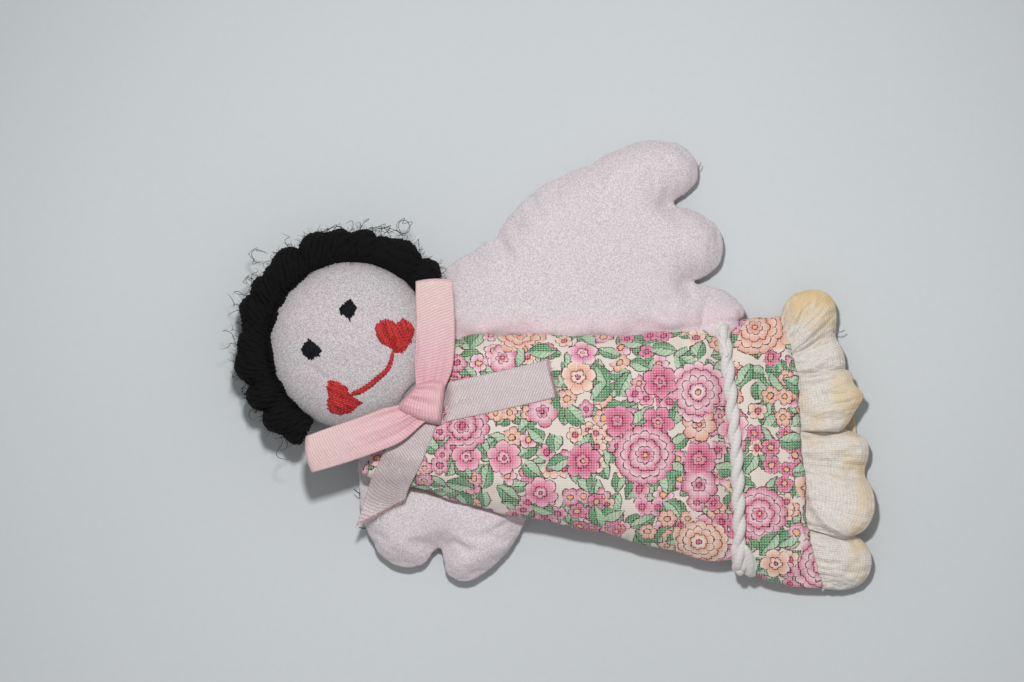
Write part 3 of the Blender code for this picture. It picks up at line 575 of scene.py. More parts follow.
def scatter(f, place, size, loose, seed):
    """Place and polar place round the nearest motif's middle, its three chances, and the middle."""
    shift = (seed * 3.7, seed * 1.9, 0.0)
    scaled = f.vector("ADD", f.vector("SCALE", place, scale=1 / size), shift)
    chance, middle = f.node("ShaderNodeTexVoronoi", {"voronoi_dimensions": "2D", "feature": "F1"},
                            {"Vector": scaled, "Scale": 1.0, "Randomness": loose},
                            ("Color", "Position"))
    x, y, _ = f.separate(f.vector("SUBTRACT", scaled, middle))
    at = f.vector("SCALE", f.vector("SUBTRACT", middle, shift), scale=size)
    return (x, y), (f.math("SQRT", x * x + y * y), f.math("ARCTAN2", y, x)), f.separate(chance), at


# Flower colours: each one's inner and outer ends of its petals
PETALS = [((244, 216, 222), (206, 70, 118)), ((222, 112, 150), (244, 222, 224)),
          ((240, 216, 200), (228, 146, 116)), ((198, 62, 108), (236, 156, 180)),
          ((218, 96, 138), (242, 196, 206)), ((230, 160, 132), (244, 226, 208)),
          ((242, 206, 214), (196, 70, 114))]
INK = paint(84, 16, 36)
LINE = 0.14 * MM


def tinted(f, chance):
    """The two petal colours that a chance from 0 to 1 picks."""
    tints = []
    for end in (0, 1):
        stops = [(k / len(PETALS), paint(*pair[end])) for k, pair in enumerate(PETALS)]
        tints.append(f.node("ShaderNodeValToRGB", {"stops": stops}, {0: chance}))
        tints[-1].socket.node.color_ramp.interpolation = "CONSTANT"
    return tints


def flowers(f, colour, place, size, loose, seed, rings, most=1.0, cluster=None):
    """Paints one flower over a colour in some of the cells, with its rings of petals."""
    _, (radius, angle), (first, second, third), at = scatter(f, place, size, loose, seed)
    if cluster:
        across, share, reach = cluster
        _, (away, _), (first, whether, _), _ = scatter(f, at, across, 0.75, seed + 2)
        absent = f.step(whether - share, 0.01) + f.step(away - reach * (0.8 + 0.4 * second), 0.01)
    else:
        absent = f.step(second - most, 0.01)
    radius = radius / (0.9 + 0.2 * third) + absent * 9
    fewest, spread, reaches = rings
    petals = f.math("FLOOR", fewest + third * spread)
    turn = third * 6.28
    tints = tinted(f, first)
    starts = [*reaches[1:], 0.08]
    for k, (reach, start) in enumerate(zip(reaches, starts)):
        colour = petal_ring(f, colour, (radius, angle), petals, reach, start * 0.8,
                            tints if k % 2 == 0 else tints[::-1], INK, LINE / size, turn + k * 0.9)
        petals = f.math("MAXIMUM", f.math("FLOOR", petals * 0.78), 5.0)
    heart = reaches[-1] * 0.32
    colour = f.mix(f.step(heart - radius, 0.02), colour, f.mix(f.step(first - 0.5, 0.1),
                   paint(238, 176, 128), paint(206, 82, 122)))
    return f.mix(f.line(radius - heart, LINE / size), colour, INK)


def leaves(f, colour, place, size, loose, seed, most=1.0):
    """Paints one pointed leaf over a colour in some of the cells, with its veins."""
    (x, y), _, (first, second, third), _ = scatter(f, place, size, loose, seed)
    width = LINE / size
    c, s = f.math("COSINE", first * 6.28), f.math("SINE", first * 6.28)
    along, across = x * c + y * s, y * c - x * s + 0.25 * (x * x + y * y)
    half = 0.31 * (1 - (along * along) / 0.3) - abs(across) - f.step(third - most, 0.01) * 9
    shade = f.step(across + 0.1 * (second - 0.5), 0.2) * 0.75 + f.clamp(along + 0.3) * 0.4
    green = f.mix(f.clamp(shade), paint(186, 214, 180), paint(58, 136, 82))
    rays = ((along - abs(across) * 0.8) * 6.0) % 1.0 - 0.5
    green = f.mix(f.clamp(f.line(rays, 0.11) * 0.5 + f.line(across, width)), green, paint(44, 74, 52))
    colour = f.mix(f.step(half, 0.03), colour, green)
    return f.mix(f.line(half, width), colour, INK)


def woven(f, across, along, pitch):
    """A square grid of raised thread crossings, from 0 to 1."""
    turn = 2 * pi / pitch
    return (f.math("SINE", across * turn) * 0.5 + 0.5) * (f.math("SINE", along * turn) * 0.5 + 0.5)


def print_finish():
    """Cream cotton printed with packed flowers and leaves, its plain weave showing."""
    f = Finish("printed cotton", roughness=0.85, sheen=0.2, specular=0.2)
    cut = f.cut_place()
    wander = f.node("ShaderNodeTexNoise", None, {"Vector": cut, "Scale": 520.0, "Detail": 3.0}, "Color")
    bent = f.vector("ADD", cut, f.vector("SCALE", f.vector("SUBTRACT", wander, (0.5, 0.5, 0.5)),
                                         scale=1.5 * MM))
    colour = paint(228, 216, 204)
    blossom, open_one = (5.0, 1.9, [0.53]), (5.0, 2.9, [0.45, 0.18])
    double = (13.0, 3.9, [0.48, 0.37, 0.26, 0.14])
    colour = leaves(f, colour, bent, 5.8 * MM, 0.85, 1.0, most=0.85)
    colour = leaves(f, colour, bent, 6.8 * MM, 0.95, 4.0, most=0.6)
    colour = flowers(f, colour, bent, 4.9 * MM, 0.8, 8.0, blossom, most=0.45)
    colour = leaves(f, colour, bent, 6.4 * MM, 0.95, 7.0, most=0.35)
    colour = flowers(f, colour, bent, 4.5 * MM, 0.55, 2.0, blossom, cluster=(17.0 * MM, 0.9, 0.42))
    colour = leaves(f, colour, bent, 7.2 * MM, 0.95, 11.0, most=0.22)
    colour = flowers(f, colour, bent, 10.0 * MM, 0.7, 3.0, open_one, most=0.26)
    colour = flowers(f, colour, bent, 15.5 * MM, 0.7, 5.0, double, most=0.34)
    across, along, _ = f.separate(cut)
    weave = woven(f, across, along, 0.68 * MM)
    slub = f.noise(f.place(), 900.0, detail=2.0)
    worn = f.clamp(weave * 0.66 + (slub - 0.5) * 0.6 - 0.09)
    f.set("Base Color", f.mix(worn, colour, paint(240, 230, 226)))
    f.relief(weave * 0.6 + slub * 0.6, 0.1 * MM)
    return f


def gauze_finish():
    """Cream open-weave cloth with yellow and tan stains towards its edge."""
    f = Finish("stained gauze", roughness=0.9, sheen=0.2, specular=0.15)
    place = f.place()
    across, along, _ = f.separate(f.cut_place())
    weave = woven(f, across, along, 0.72 * MM)
    crinkle = f.noise(place, 1100.0, detail=3.0, rough=0.65)
    blot = f.noise(place, 130.0, detail=4.0, rough=0.6)
    out = f.clamp(along / (15 * MM))
    stain = f.clamp((blot - 0.5) * 2.2 + out * 0.55 + f.own("stain") * 0.9 - 0.6)
    brown = f.clamp((along - 11 * MM) / (4 * MM)) * f.clamp((blot - 0.4) * 3)
    colour = f.mix(f.clamp(weave * 0.6 + (crinkle - 0.3) * 1.1), paint(208, 200, 191),
                   paint(250, 245, 237))
    colour = f.mix(stain * 0.9, colour, paint(228, 198, 146))
    colour = f.mix(brown * 0.4, colour, paint(198, 166, 126))
    f.set("Base Color", colour)
    f.relief(weave * 0.4 + crinkle, 0.22 * MM)
    return f


def table_finish():
    f = Finish("pale table", roughness=0.7, specular=0.2)
    grain = f.noise(f.place(), 500.0, detail=4.0)
    cloud = f.noise(f.place(), 6.0, detail=1.0)
    colour = f.mix(f.clamp(cloud), paint(200, 204, 206), paint(212, 216, 217))
    f.set("Base Color", f.mix(f.clamp((grain - 0.45) * 0.5), colour, paint(194, 198, 200)))
    return f


CREPE = crepe_finish("pale crepe cloth", paint(231, 223, 225), paint(196, 187, 191))
# the head's crepe is the same cloth painted darker: a painted shade
SHADED_HEAD_CREPE = crepe_finish("pale crepe cloth of the head", paint(214, 209, 209), paint(170, 164, 167))
PRINT = print_finish()
SATIN = satin_finish("pink satin ribbon", False)
SHEER = satin_finish("sheer ribbon end", True)
GAUZE = gauze_finish()
BLACK = yarn_finish("black yarn", paint(2, 2, 2), paint(13, 12, 12), 0.5 * MM, sheen=0.0)
BLACK_FLOSS = yarn_finish("black floss", paint(2, 3, 8), paint(18, 22, 32), 0.4 * MM, 0.6,
                          varied=0.6, sheen=0.0)
RED_FLOSS = yarn_finish("red floss", paint(140, 8, 18), paint(232, 62, 58), 0.9 * MM, 0.42, 0.5, 0.8)
WHITE = yarn_finish("white cotton cord", paint(214, 209, 206), paint(240, 236, 234), 0.9 * MM,
                    contrast=0.3, depth=0.05 * MM)


# Head, wings and dress

def crease(points, normals, middle_height, depth, width):
    """Draws a seam in along the rim of a pillow and gathers the cloth beside it; also gives each
    point's weight of painted shade along that seam.
    """
    rim = np.clip(1 - np.abs(normals[:, 2]) / 0.75, 0, 1)
    off = (points[:, 2] - middle_height) / MM
    valley = -depth * np.exp(-(off / width) ** 2) * rim
    gathers = ripple(points * [1, 1, 0.15], 330.0, 2) * 0.22 * MM * np.exp(-(off / 2.6) ** 2) * rim
    return valley + gathers, np.exp(-(off / 2.0) ** 2) * rim


# Where the right wing meets the dress, given in mm from the knot
RIGHT_SEAM = [KNOT + Vector(p) * MM for p in
              ((18.3, -6.1), (21.0, -24.0), (23.5, -48.0), (28.8, -69.0), (34.0, -88.4))]


def distance_to(points, route):
    """How far each point lies from a route over the plan."""
    best = np.full(len(points), 1.0)
    for a, b in zip(route, route[1:]):
        line = np.array(b - a)
        share = np.clip(((points[:, :2] - np.array(a)) @ line) / (line @ line), 0, 1)
        near = np.array(a) + share[:, None] * line
        best = np.minimum(best, np.linalg.norm(points[:, :2] - near, axis=1))
    return best


def distance_from(points, middle):
    """How far each point lies from a place over the plan."""
    return np.hypot(points[:, 0] - middle.x, points[:, 1] - middle.y)


def fill_lobe(piece, points, normals):
    """Domes the wing's lobe beside the cord's flat end, then smooths it into the rest."""
    px, py = picture_place(points)
    lobe_x, lobe_y, lobe_wide, lobe_tall = 712, 318, 32, 27
    away = np.hypot((px - lobe_x) / lobe_wide, (py - lobe_y) / lobe_tall)
    lobe = (3.2 + 6.0 * np.sqrt(np.clip(1 - away ** 2, 0, 1))) * MM
    raised = (away < 1) & (normals[:, 2] > -0.05) & (points[:, 2] > 1.5 * MM)
    points[:, 2] = np.where(raised, np.maximum(points[:, 2], lobe), points[:, 2])
    move_points(piece.data, points)
    pit_x, pit_y, reach = 719, 312, 4.5 * MM
    group = piece.vertex_groups.new(name="lobe")
    for index, away in enumerate(distance_from(points, spot(pit_x, pit_y))):
        if away < 2 * reach and points[index, 2] > 3.5 * MM:
            group.add([index], float(min(1.0, 2 - away / reach)), "REPLACE")
    fill = piece.modifiers.new("fill", "SMOOTH")
    fill.iterations, fill.factor, fill.vertex_group = 30, 0.6, "lobe"
    baked(piece)
    piece.vertex_groups.clear()


def wings_cloth():
    """The padded pair of wings: a seam round the rim, and puckers beside the dress."""
    piece = soft_copy("wings", 1.0 * MM)
    points, normals = skin_of(piece)
    seam_height = 4.3 * MM
    held = np.clip(1 - np.abs(points[:, 2] - seam_height) / (1.0 * MM), 0, 1)
    held *= np.abs(normals[:, 2]) < 0.7
    plump(piece, held, 0.8 * MM)
    subdivide(piece)
    points, normals = skin_of(piece)
    move, near = crease(points, normals, seam_height, 0.35 * MM, 0.45)
    move += ripple(points, 75.0, 5) * 0.28 * MM
    fill_lobe(piece, points, normals)
    points, normals = skin_of(piece)
    beside = distance_to(points, RIGHT_SEAM)
    roll = np.exp(-((beside - 1.8 * MM) / (2.6 * MM)) ** 2) * (points[:, 2] > 5 * MM)
    move += roll * (0.6 + 3.2 * ripple(points * [1, 1, 0.1], 105.0, 6)) * MM
    rim = np.clip(1 - np.abs(normals[:, 2]) / 0.8, 0, 1)
    move += ripple(points * [1, 1, 0.1], 85.0, 12) * 0.6 * MM * rim
    points = points + normals * move[:, None]
    wing_tip = spot(738, 301)
    pull = np.exp(-(distance_from(points, wing_tip) / (6 * MM)) ** 2)
    points[:, :2] += np.array(picture_right) * (0.9 * MM * pull)[:, None]
    points[:, 2] = np.maximum(points[:, 2], 0)
    move_points(piece.data, points)
    # the stored weight paints shade along the rim seam and where the wing rolls against the dress
    keep_number(piece.data, "near_seam", near * 0.7 + roll)
    return dress_up(piece, "wings", CREPE)


def head_cloth():
    """The padded head, with a shallow wrinkle in its crepe that runs to the left heart."""
    piece = soft_copy("head", 0.8 * MM)
    points, normals = skin_of(piece)
    seam_height = 14 * MM
    held = np.clip(1 - np.abs(points[:, 2] - seam_height) / (1.0 * MM), 0, 1)
    plump(piece, held, 0.5 * MM, slack=0.0)
    subdivide(piece)
    points, normals = skin_of(piece)
    start, finish = spot(307.7, 365.7), spot(326.8, 378.1)
    away = distance_to(points, [start, finish])
    wrinkle = np.exp(-(away / (0.9 * MM)) ** 2) * (normals[:, 2] > 0)
    move = ripple(points, 90.0, 8) * 0.16 * MM - 0.3 * MM * wrinkle
    move_points(piece.data, points + normals * move[:, None])
    # the head's lower sides take the pink painted shade, fully at 8.5 mm up and none above 16.5 mm
    keep_number(piece.data, "near_seam", np.clip((16.5 * MM - points[:, 2]) / (8 * MM), 0, 1))
    return dress_up(piece, "head", SHADED_HEAD_CREPE)


def dress_cut(piece):
    """Unrolls the front and the back of the dress from its middle line to its side seams."""
    points, normals = skin_of(piece)
    axis = Vector((0.13, -0.99)).normalized()
    side = np.array((-axis.y, axis.x))
    middle = np.array((points[:, :2].min(0) + points[:, :2].max(0)) / 2)
    along = (points[:, :2] - middle) @ np.array(axis)
    across = (points[:, :2] - middle) @ side
    tree = tree_of(piece)
    row_step, column_step = 2 * MM, 0.7 * MM
    rows = np.arange(along.min() - MM, along.max() + MM, row_step)
    columns = np.arange(across.min() - MM, across.max() + MM, column_step)
    arcs = np.zeros((2, len(rows), len(columns)))
    centre = int(np.argmin(np.abs(columns)))
    for j, row in enumerate(rows):
        places = [middle + np.array(axis) * row + side * column for column in columns]
        for face, (start, aim) in enumerate((((0, 0, 0.2), -1), ((0, 0, -0.2), 1))):
            heights = []
            for place in places:
                hit = tree.ray_cast(Vector((place[0], place[1], start[2])), Vector((0, 0, aim)))[0]
                heights.append(hit.z if hit else np.nan)
            heights = np.array(heights)
            steps = np.hypot(np.diff(columns), np.diff(heights))
            steps[np.isnan(steps)] = column_step
            steps = np.minimum(steps, 2.5 * MM)
            run = np.concatenate(([0], np.cumsum(steps)))
            arcs[face, j] = run - run[centre]
    j = np.clip((along - rows[0]) / row_step, 0, len(rows) - 1.001)
    i = np.clip((across - columns[0]) / column_step, 0, len(columns) - 1.001)
    j0, i0 = j.astype(int), i.astype(int)
    tj, ti = j - j0, i - i0
    face = (normals[:, 2] < 0).astype(int)
    u = ((arcs[face, j0, i0] * (1 - ti) + arcs[face, j0, i0 + 1] * ti) * (1 - tj)
         + (arcs[face, j0 + 1, i0] * (1 - ti) + arcs[face, j0 + 1, i0 + 1] * ti) * tj)
    back_cut_at = 0.31
    return np.stack([u + face * back_cut_at, along], axis=1)


HEM_LEFT = KNOT + Vector((-36.2, -108.0)) * MM
HEM_RIGHT = KNOT + Vector((34.0, -88.4)) * MM
HEM_ALONG = (HEM_RIGHT - HEM_LEFT).normalized()
HEM_OUT = Vector((HEM_ALONG.y, -HEM_ALONG.x))
HEM_LINE = [(781, 318), (789, 345), (798, 376), (800, 431), (805, 483), (805, 520), (809, 548),
            (826, 592)]


def hem_place(x, y):
    """A place of the plan as distances along the hem from its left end and out from it."""
    away_x, away_y = x - HEM_LEFT.x, y - HEM_LEFT.y
    return (away_x * HEM_ALONG.x + away_y * HEM_ALONG.y, away_x * HEM_OUT.x + away_y * HEM_OUT.y)


def hem_bow(along):
    """How far the real hem stands out from the straight line between its ends."""
    places = sorted(hem_place(*spot(*p)) for p in HEM_LINE)
    return np.interp(along, [p[0] for p in places], [p[1] for p in places])


def dress_cloth():
    """The padded dress, its hem drawn out to where the picture shows it."""
    piece = soft_copy("dress", 1.1 * MM)
    points, normals = skin_of(piece)
    held = np.clip((0.5 - np.abs(normals[:, 2])) * 2, 0, 1) * 0.8
    plump(piece, held, 0.7 * MM)
    subdivide(piece)
    points, normals = skin_of(piece)
    rim = np.clip(1 - np.abs(normals[:, 2]) / 0.6, 0, 1)
    move = (ripple(points, 60.0, 3) * 0.25 * MM
            + ripple(points * [1, 1, 0.2], 120.0, 4) * 0.95 * MM * rim)
    points = points + normals * move[:, None]
    along, out = hem_place(points[:, 0], points[:, 1])
    near = np.clip((out + 9 * MM) / (9 * MM), 0, 1) ** 2
    points[:, :2] += np.array(HEM_OUT) * ((hem_bow(along) + 0.3 * MM) * near)[:, None]
    points[:, 2] = np.maximum(points[:, 2], 0)
    move_points(piece.data, points)
    keep_cut(piece.data, dress_cut(piece))
    return dress_up(piece, "dress", PRINT)


head = head_cloth()
wings_cloth()
dress = dress_cloth()


def smooth_line(points, steps):
    """Points of a curve that passes through the given ones."""
    ends = [2 * points[0] - points[1], *points, 2 * points[-1] - points[-2]]
    curve = []
    for i in range(1, len(ends) - 2):
        before, start, finish, after = ends[i - 1:i + 3]
        for k in range(steps):
            t = k / steps
            curve.append(0.5 * (2 * start + (finish - before) * t
                                + (2 * before - 5 * start + 4 * finish - after) * t ** 2
                                + (3 * start - before - 3 * finish + after) * t ** 3))
    return curve + [points[-1]]


# Hair

HEAD_RADIUS = 22 * MM
HEAD_TURN = radians(-35)
NECK_AT = Vector((-0.8, 1.9)) * MM + KNOT
HEAD_UP = Vector((-sin(HEAD_TURN), cos(HEAD_TURN)))
HEAD_RIGHT = Vector((cos(HEAD_TURN), sin(HEAD_TURN)))
HEAD_AT = NECK_AT + HEAD_UP * (HEAD_RADIUS + 1 * MM)
HEAD_MIDDLE = 14 * MM


def head_point(turn, reach, height):
    """A place at a turn and a distance from the head's middle."""
    plan = HEAD_AT + HEAD_RIGHT * cos(turn) * reach + HEAD_UP * sin(turn) * reach
    return Vector((plan.x, plan.y, height))


# Long curly fibres that stand off the wig, as picture points
LONG_STRAYS = [[(316, 241), (321, 234), (328, 230), (335, 227), (342, 227.5), (345, 232)],
               [(362, 236), (368, 230), (378, 227), (388, 228), (397, 231), (405, 234), (410, 229),
                (407, 221), (400, 222), (399, 229), (405, 238)],
               [(264, 263), (256, 262), (252, 256), (253, 251), (259, 250), (268, 254)],
               [(394, 233), (386, 229), (377, 229), (371, 233)],
               [(251, 287), (246, 281), (249, 277), (254, 280)]]


def hair_piece():
    """Short loops of two-ply yarn side by side over a dark pad, with loose fibres."""
    pad = soft_copy("hair", 0.8 * MM, relax=2)
    tree = tree_of(pad)
    points, normals = skin_of(pad)
    move_points(pad.data, points - normals * 1.3 * MM)
    lines = []
    sweep = radians(105.5)
    count = 150
    for k in range(count):
        chance = noise.noise(Vector((k * 1.7, 0.3, 0)))
        other = noise.noise(Vector((k * 2.3, 5.3, 1)))
        turn = pi / 2 + sweep * (1 - 2 * (k + 0.5) / count) * 0.985
        lean = 0.14 * chance
        bunch = abs(sin(k * pi / 15.0 + 3.2 * noise.noise(Vector((k * 0.045, 2.2, 4))))) ** 0.6
        line = []
        steps = 16
        for j in range(steps + 1):
            share = j / steps
            angle = radians(112 + 9 * other + 7 * bunch) - radians(196) * share
            here = turn + lean * (share - 0.3)
            inner = head_point(here, HEAD_RADIUS + 1.2 * MM, HEAD_MIDDLE - 2 * MM)
            out = head_point(here, HEAD_RADIUS + 1.2 * MM + cos(angle) * 30 * MM,
                             HEAD_MIDDLE - 2 * MM + sin(angle) * 30 * MM)
            hit = tree.ray_cast(out, (inner - out).normalized())[0]
            if hit is None:
                continue
            inward = (inner - out).normalized()
            swell = 2.9 * bunch * sin(pi * min(1.0, share * 1.15)) ** 2
            line.append(hit + inward * (2.3 - swell + 0.5 * other * sin(pi * share * 2)) * MM)
        if len(line) > 4:
            inward = (head_point(turn, 0, line[0].z) - line[0]).normalized()
            leftward = max(0.0, inward.to_2d().dot(picture_right))
            ahead = line[0] + inward * (0.2 + 1.1 * bunch + 0.6 * other + 1.5 * leftward) * MM
            lowest = height_over(on_head, ahead.x, ahead.y) + 0.3 * MM
            line.insert(0, Vector((ahead.x, ahead.y, lowest)))
            lines.append(line)
    yarn = twisted("hair_yarn", lines, BLACK, plies=2, radius=0.62, offset=0.5, half_turn=2.6,
                   spacing=0.8, sides=6, taper=1.5, thin=0.5)
    fuzz = grown("hair_fuzz", yarn.data.copy(), FUZZ, density=0.21e6, length=1.9 * MM,
                 radius=0.028 * MM, lean=0.9, seed=4, material=BLACK.material)
    above = points_of(fuzz.data)
    above[:, 2] = np.maximum(above[:, 2], 0)
    move_points(fuzz.data, above)
    strays = []
    for k in range(110):
        chances = [noise.noise(Vector((k * 3.3, 1.7 * j, 8))) * 1.6 for j in range(7)]
        turn = radians(-8 + 196 * (k * 0.618 % 1)) + 0.2 * chances[0]
        at = head_point(turn, HEAD_RADIUS + (7.0 + 0.6 * chances[1]) * MM,
                        HEAD_MIDDLE + 4 * chances[2] * MM)
        aim = Vector((*(HEAD_UP * sin(turn) + HEAD_RIGHT * cos(turn)), 0.0))
        tangent = Vector((-aim.y, aim.x, 0.0))
        length = (2.6 + 8.0 * abs(chances[3]) ** 1.5) * MM
        line = []
        for j in range(13):
            t = j / 12
            curl = Vector((sin(t * 7 + 6 * chances[4]), cos(t * 6 + 5 * chances[6]))) * 0.2 * t
            line.append(at + aim * length * (t - 0.55 * t * t * (1 + 0.6 * chances[5]) + curl.x)
                        + tangent * length * (curl.y + chances[4] * 1.2 * t)
                        + Vector((0, 0, 1)) * length * 0.25 * chances[0] * t)
        strays.append(line)
    for k, places in enumerate(LONG_STRAYS):
        for level in (0.0, 1.2 * MM):
            curve = smooth_line([spot(*p) for p in places], 6)
            wander = [1.4 * level * noise.noise(Vector((j * 0.3, k, 3))) for j in range(len(curve))]
            lift = [1.5 * MM * noise.noise(Vector((j * 0.25, k, level * 900)))
                    for j in range(len(curve))]
            strays.append([(p.x + wander[j], p.y - wander[j] + level * 0.3,
                            HEAD_MIDDLE - MM + level + lift[j]) for j, p in enumerate(curve)])
    loose = twisted("hair_strays", strays, BLACK, plies=1, radius=0.07, offset=0.0, half_turn=1,
                    spacing=0.4, sides=4, taper=2, thin=0.35)
    dress_up(pad, "hair", BLACK)
    for strands in (loose, yarn, fuzz):
        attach(strands, "root")


on_head = tree_of(head)
hair_piece()


# Embroidery

RIGHT_HEART = [(376.1, 327.8), (378.6, 323.2), (383.3, 320.2), (388.6, 319.8), (393.5, 321.6),
               (396.2, 325.0), (399.6, 320.9), (404.7, 318.4), (408.8, 321.6), (413.0, 325.8),
               (414.9, 330.2), (412.9, 336.9), (410.8, 342.0), (406.1, 350.6), (400.6, 353.7),
               (395.5, 351.2), (391.4, 347.1), (383.3, 344.1), (379.4, 339.8), (377.1, 334.9)]
LEFT_HEART = [(329.2, 380.4), (335.2, 380.6), (340.4, 382.9), (347.6, 386.9), (349.6, 392.7),
              (354.7, 397.6), (362.9, 402.2), (358.8, 406.3), (353.7, 410.4), (342.4, 414.1),
              (331.2, 412.4), (328.2, 403.3), (329.8, 396.1), (328.2, 389.0)]
RIGHT_EYE = [(340.4, 309.4), (343.0, 305.4), (346.5, 304.0), (349.6, 299.0), (353.7, 302.2),
             (357.8, 308.4), (354.7, 313.5), (351.6, 319.4), (346.5, 316.2), (342.4, 313.5)]
LEFT_EYE = [(302.0, 349.2), (306.7, 343.0), (311.8, 340.0), (318.0, 345.1), (323.1, 351.2),
            (318.0, 355.9), (313.9, 358.8), (307.8, 357.3), (304.1, 353.3)]
SMILE = [(393.2, 351.0), (392.4, 358.4), (390.4, 364.6), (387.2, 370.4), (381.2, 375.7),
         (376.4, 379.8), (372.0, 383.9), (362.9, 390.0), (353.7, 394.1)]


def stitches_over(outline, slant, spacing, ragged, seed):
    """Straight stitches side by side from edge to edge of an outline, in picture points."""
    direction = Vector((cos(slant), sin(slant)))
    across = Vector((-direction.y, direction.x))
    corners = [Vector(p) for p in outline]
    places = [p.dot(across) for p in corners]
    found = []
    steps = int((max(places) - min(places)) / spacing)
    for k in range(steps):
        level = min(places) + (k + 0.5) * spacing
        cuts = []
        for a, b in zip(corners, corners[1:] + corners[:1]):
            before, after = a.dot(across) - level, b.dot(across) - level
            if before * after < 0:
                cuts.append((a + (b - a) * before / (before - after)).dot(direction))
        cuts.sort()
        for start, finish in zip(cuts[::2], cuts[1::2]):
            chance = noise.noise(Vector((k * 1.9, seed, 0)))
            other = noise.noise(Vector((k * 2.7, seed, 3)))
            start, finish = start - ragged * chance, finish + ragged * other
            found.append([direction * (start + (finish - start) * t / 8)
                          + across * (level + 0.5 * spacing * other) for t in range(9)])
    return found


def embroidered(name, node, outline, slant, finish, seed):
    """Satin stitch: two layers of floss side by side, a little domed."""
    lines = []
    middle = sum((Vector(p) for p in outline), Vector((0, 0))) / len(outline)
    widest = max((Vector(p) - middle).length for p in outline)
    for layer, (turn, lift, gap) in enumerate(((0.0, 0.46, 1.7), (0.1, 0.26, 1.3))):
        for line in stitches_over(outline, slant + turn, gap, 6.4 - 3 * layer, seed + layer):
            points = []
            for t, p in enumerate(line):
                plan = spot(p.x, p.y)
                dome = 0.22 * (1 - ((p - middle).length / widest) ** 2)
                arch = sin(pi * t / 8) ** 0.5
                height = height_over(on_head, plan.x, plan.y) + (lift * arch - 0.1 + dome) * MM
                points.append((plan.x, plan.y, height))
            lines.append(points)
    floss = twisted(name, lines, finish, plies=2, radius=0.17, offset=0.08, half_turn=2.2,
                    spacing=0.4, sides=6, taper=0.4, thin=0.6)
    dress_up(floss, node, None)


def smile_piece():
    """Stem stitch: short slanting stitches that overlap along the line of the mouth."""
    route = [Vector(p) for p in SMILE]
    lengths = [0.0]
    for a, b in zip(route, route[1:]):
        lengths.append(lengths[-1] + (b - a).length)

    def at(distance):
        distance = min(max(distance, 0.0), lengths[-1] - 1e-6)
        i = max(k for k in range(len(lengths) - 1) if lengths[k] <= distance)
        share = (distance - lengths[i]) / (lengths[i + 1] - lengths[i])
        along = (route[i + 1] - route[i]).normalized()
        return route[i].lerp(route[i + 1], share), Vector((-along.y, along.x))

    lines = []
    stitch, advance = 11.0, 3.6
    count = int(lengths[-1] / advance)
    for k in range(count):
        width = 1.1 + 1.5 * min(1.0, k / count * 2.2)
        for strand in range(3):
            line = []
            for t in range(7):
                share = t / 6
                p, side = at(k * advance + stitch * share - 3 + strand)
                p = p + side * ((share - 0.5) * 1.5 * width + (strand - 1) * 0.75)
                plan = spot(p.x, p.y)
                height = height_over(on_head, plan.x, plan.y) + (0.02 + 0.5 * sin(pi * share)) * MM
                line.append((plan.x, plan.y, height))
            lines.append(line)
    floss = twisted("smile_stitches", lines, RED_FLOSS, plies=2, radius=0.13, offset=0.09,
                    half_turn=1.6, spacing=0.4, sides=5, taper=0.4, thin=0.6)
    dress_up(floss, "smile", None)


embroidered("right_heart_stitches", "cheek_heart_right", RIGHT_HEART, radians(58), RED_FLOSS, 1)
embroidered("left_heart_stitches", "cheek_heart_left", LEFT_HEART, radians(14), RED_FLOSS, 2)
embroidered("right_eye_stitches", "eye_right", RIGHT_EYE, radians(75), BLACK_FLOSS, 3)
embroidered("left_eye_stitches", "eye_left", LEFT_EYE, radians(60), BLACK_FLOSS, 4)
smile_piece()


# Ribbon

def even_line(curve, count):
    """A curve's points, spaced evenly."""
    run = [0.0]
    for a, b in zip(curve, curve[1:]):
        run.append(run[-1] + (b - a).length)
    made = []
    i = 0
    for k in range(count + 1):
        target = run[-1] * k / count
        while i < len(curve) - 2 and run[i + 1] < target:
            i += 1
        share = (target - run[i]) / max(run[i + 1] - run[i], 1e-12)
        made.append(curve[i].lerp(curve[i + 1], min(max(share, 0.0), 1.0)))
    return made, run[-1]


def sheet_mesh(name, rows, cuts, thickness, closed=False):
    """A strip of cloth from rows of points, given its thickness, with its flat places kept."""
    count, across = len(rows), len(rows[0])
    points = [tuple(p) for row in rows for p in row]
    faces = []
    for j in range(count if closed else count - 1):
        k = (j + 1) % count
        faces += [(j * across + i, j * across + i + 1, k * across + i + 1, k * across + i)
                  for i in range(across - 1)]
    mesh = bpy.data.meshes.new(name)
    mesh.from_pydata(points, [], faces)
    keep_cut(mesh, [c for row in cuts for c in row])
    piece = new_object(name, mesh)
    wall = piece.modifiers.new("thickness", "SOLIDIFY")
    wall.thickness = thickness
    wall.offset = 0.0
    return baked(piece)


# The ribbon, the height the bow lies at, how far its loops stand open and how much cloth their
# fold takes up, the knot laid flat, and the collar's length and gathered width
RIBBON_WIDTH = 10 * MM
RIBBON_THICK = 0.22 * MM
BOW_HEIGHT = 21.9 * MM
LOOP_OPEN = 1.9 * MM
LOOP_FOLD = 3.2 * MM
KNOT_WIDE, KNOT_LONG = 11 * MM, 14 * MM
COLLAR_LONG, COLLAR_WIDE = 52 * MM, 4.5 * MM
under_bow = tree_of(*[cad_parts[n] for n in ("dress", "wings", "head", "hair")])


def half_width(s):
    """Half the ribbon's width at a distance from the knot, which gathers it."""
    share = min(s / (11 * MM), 1.0)
    return RIBBON_WIDTH / 2 * (0.62 + 0.38 * share * share * (3 - 2 * share))


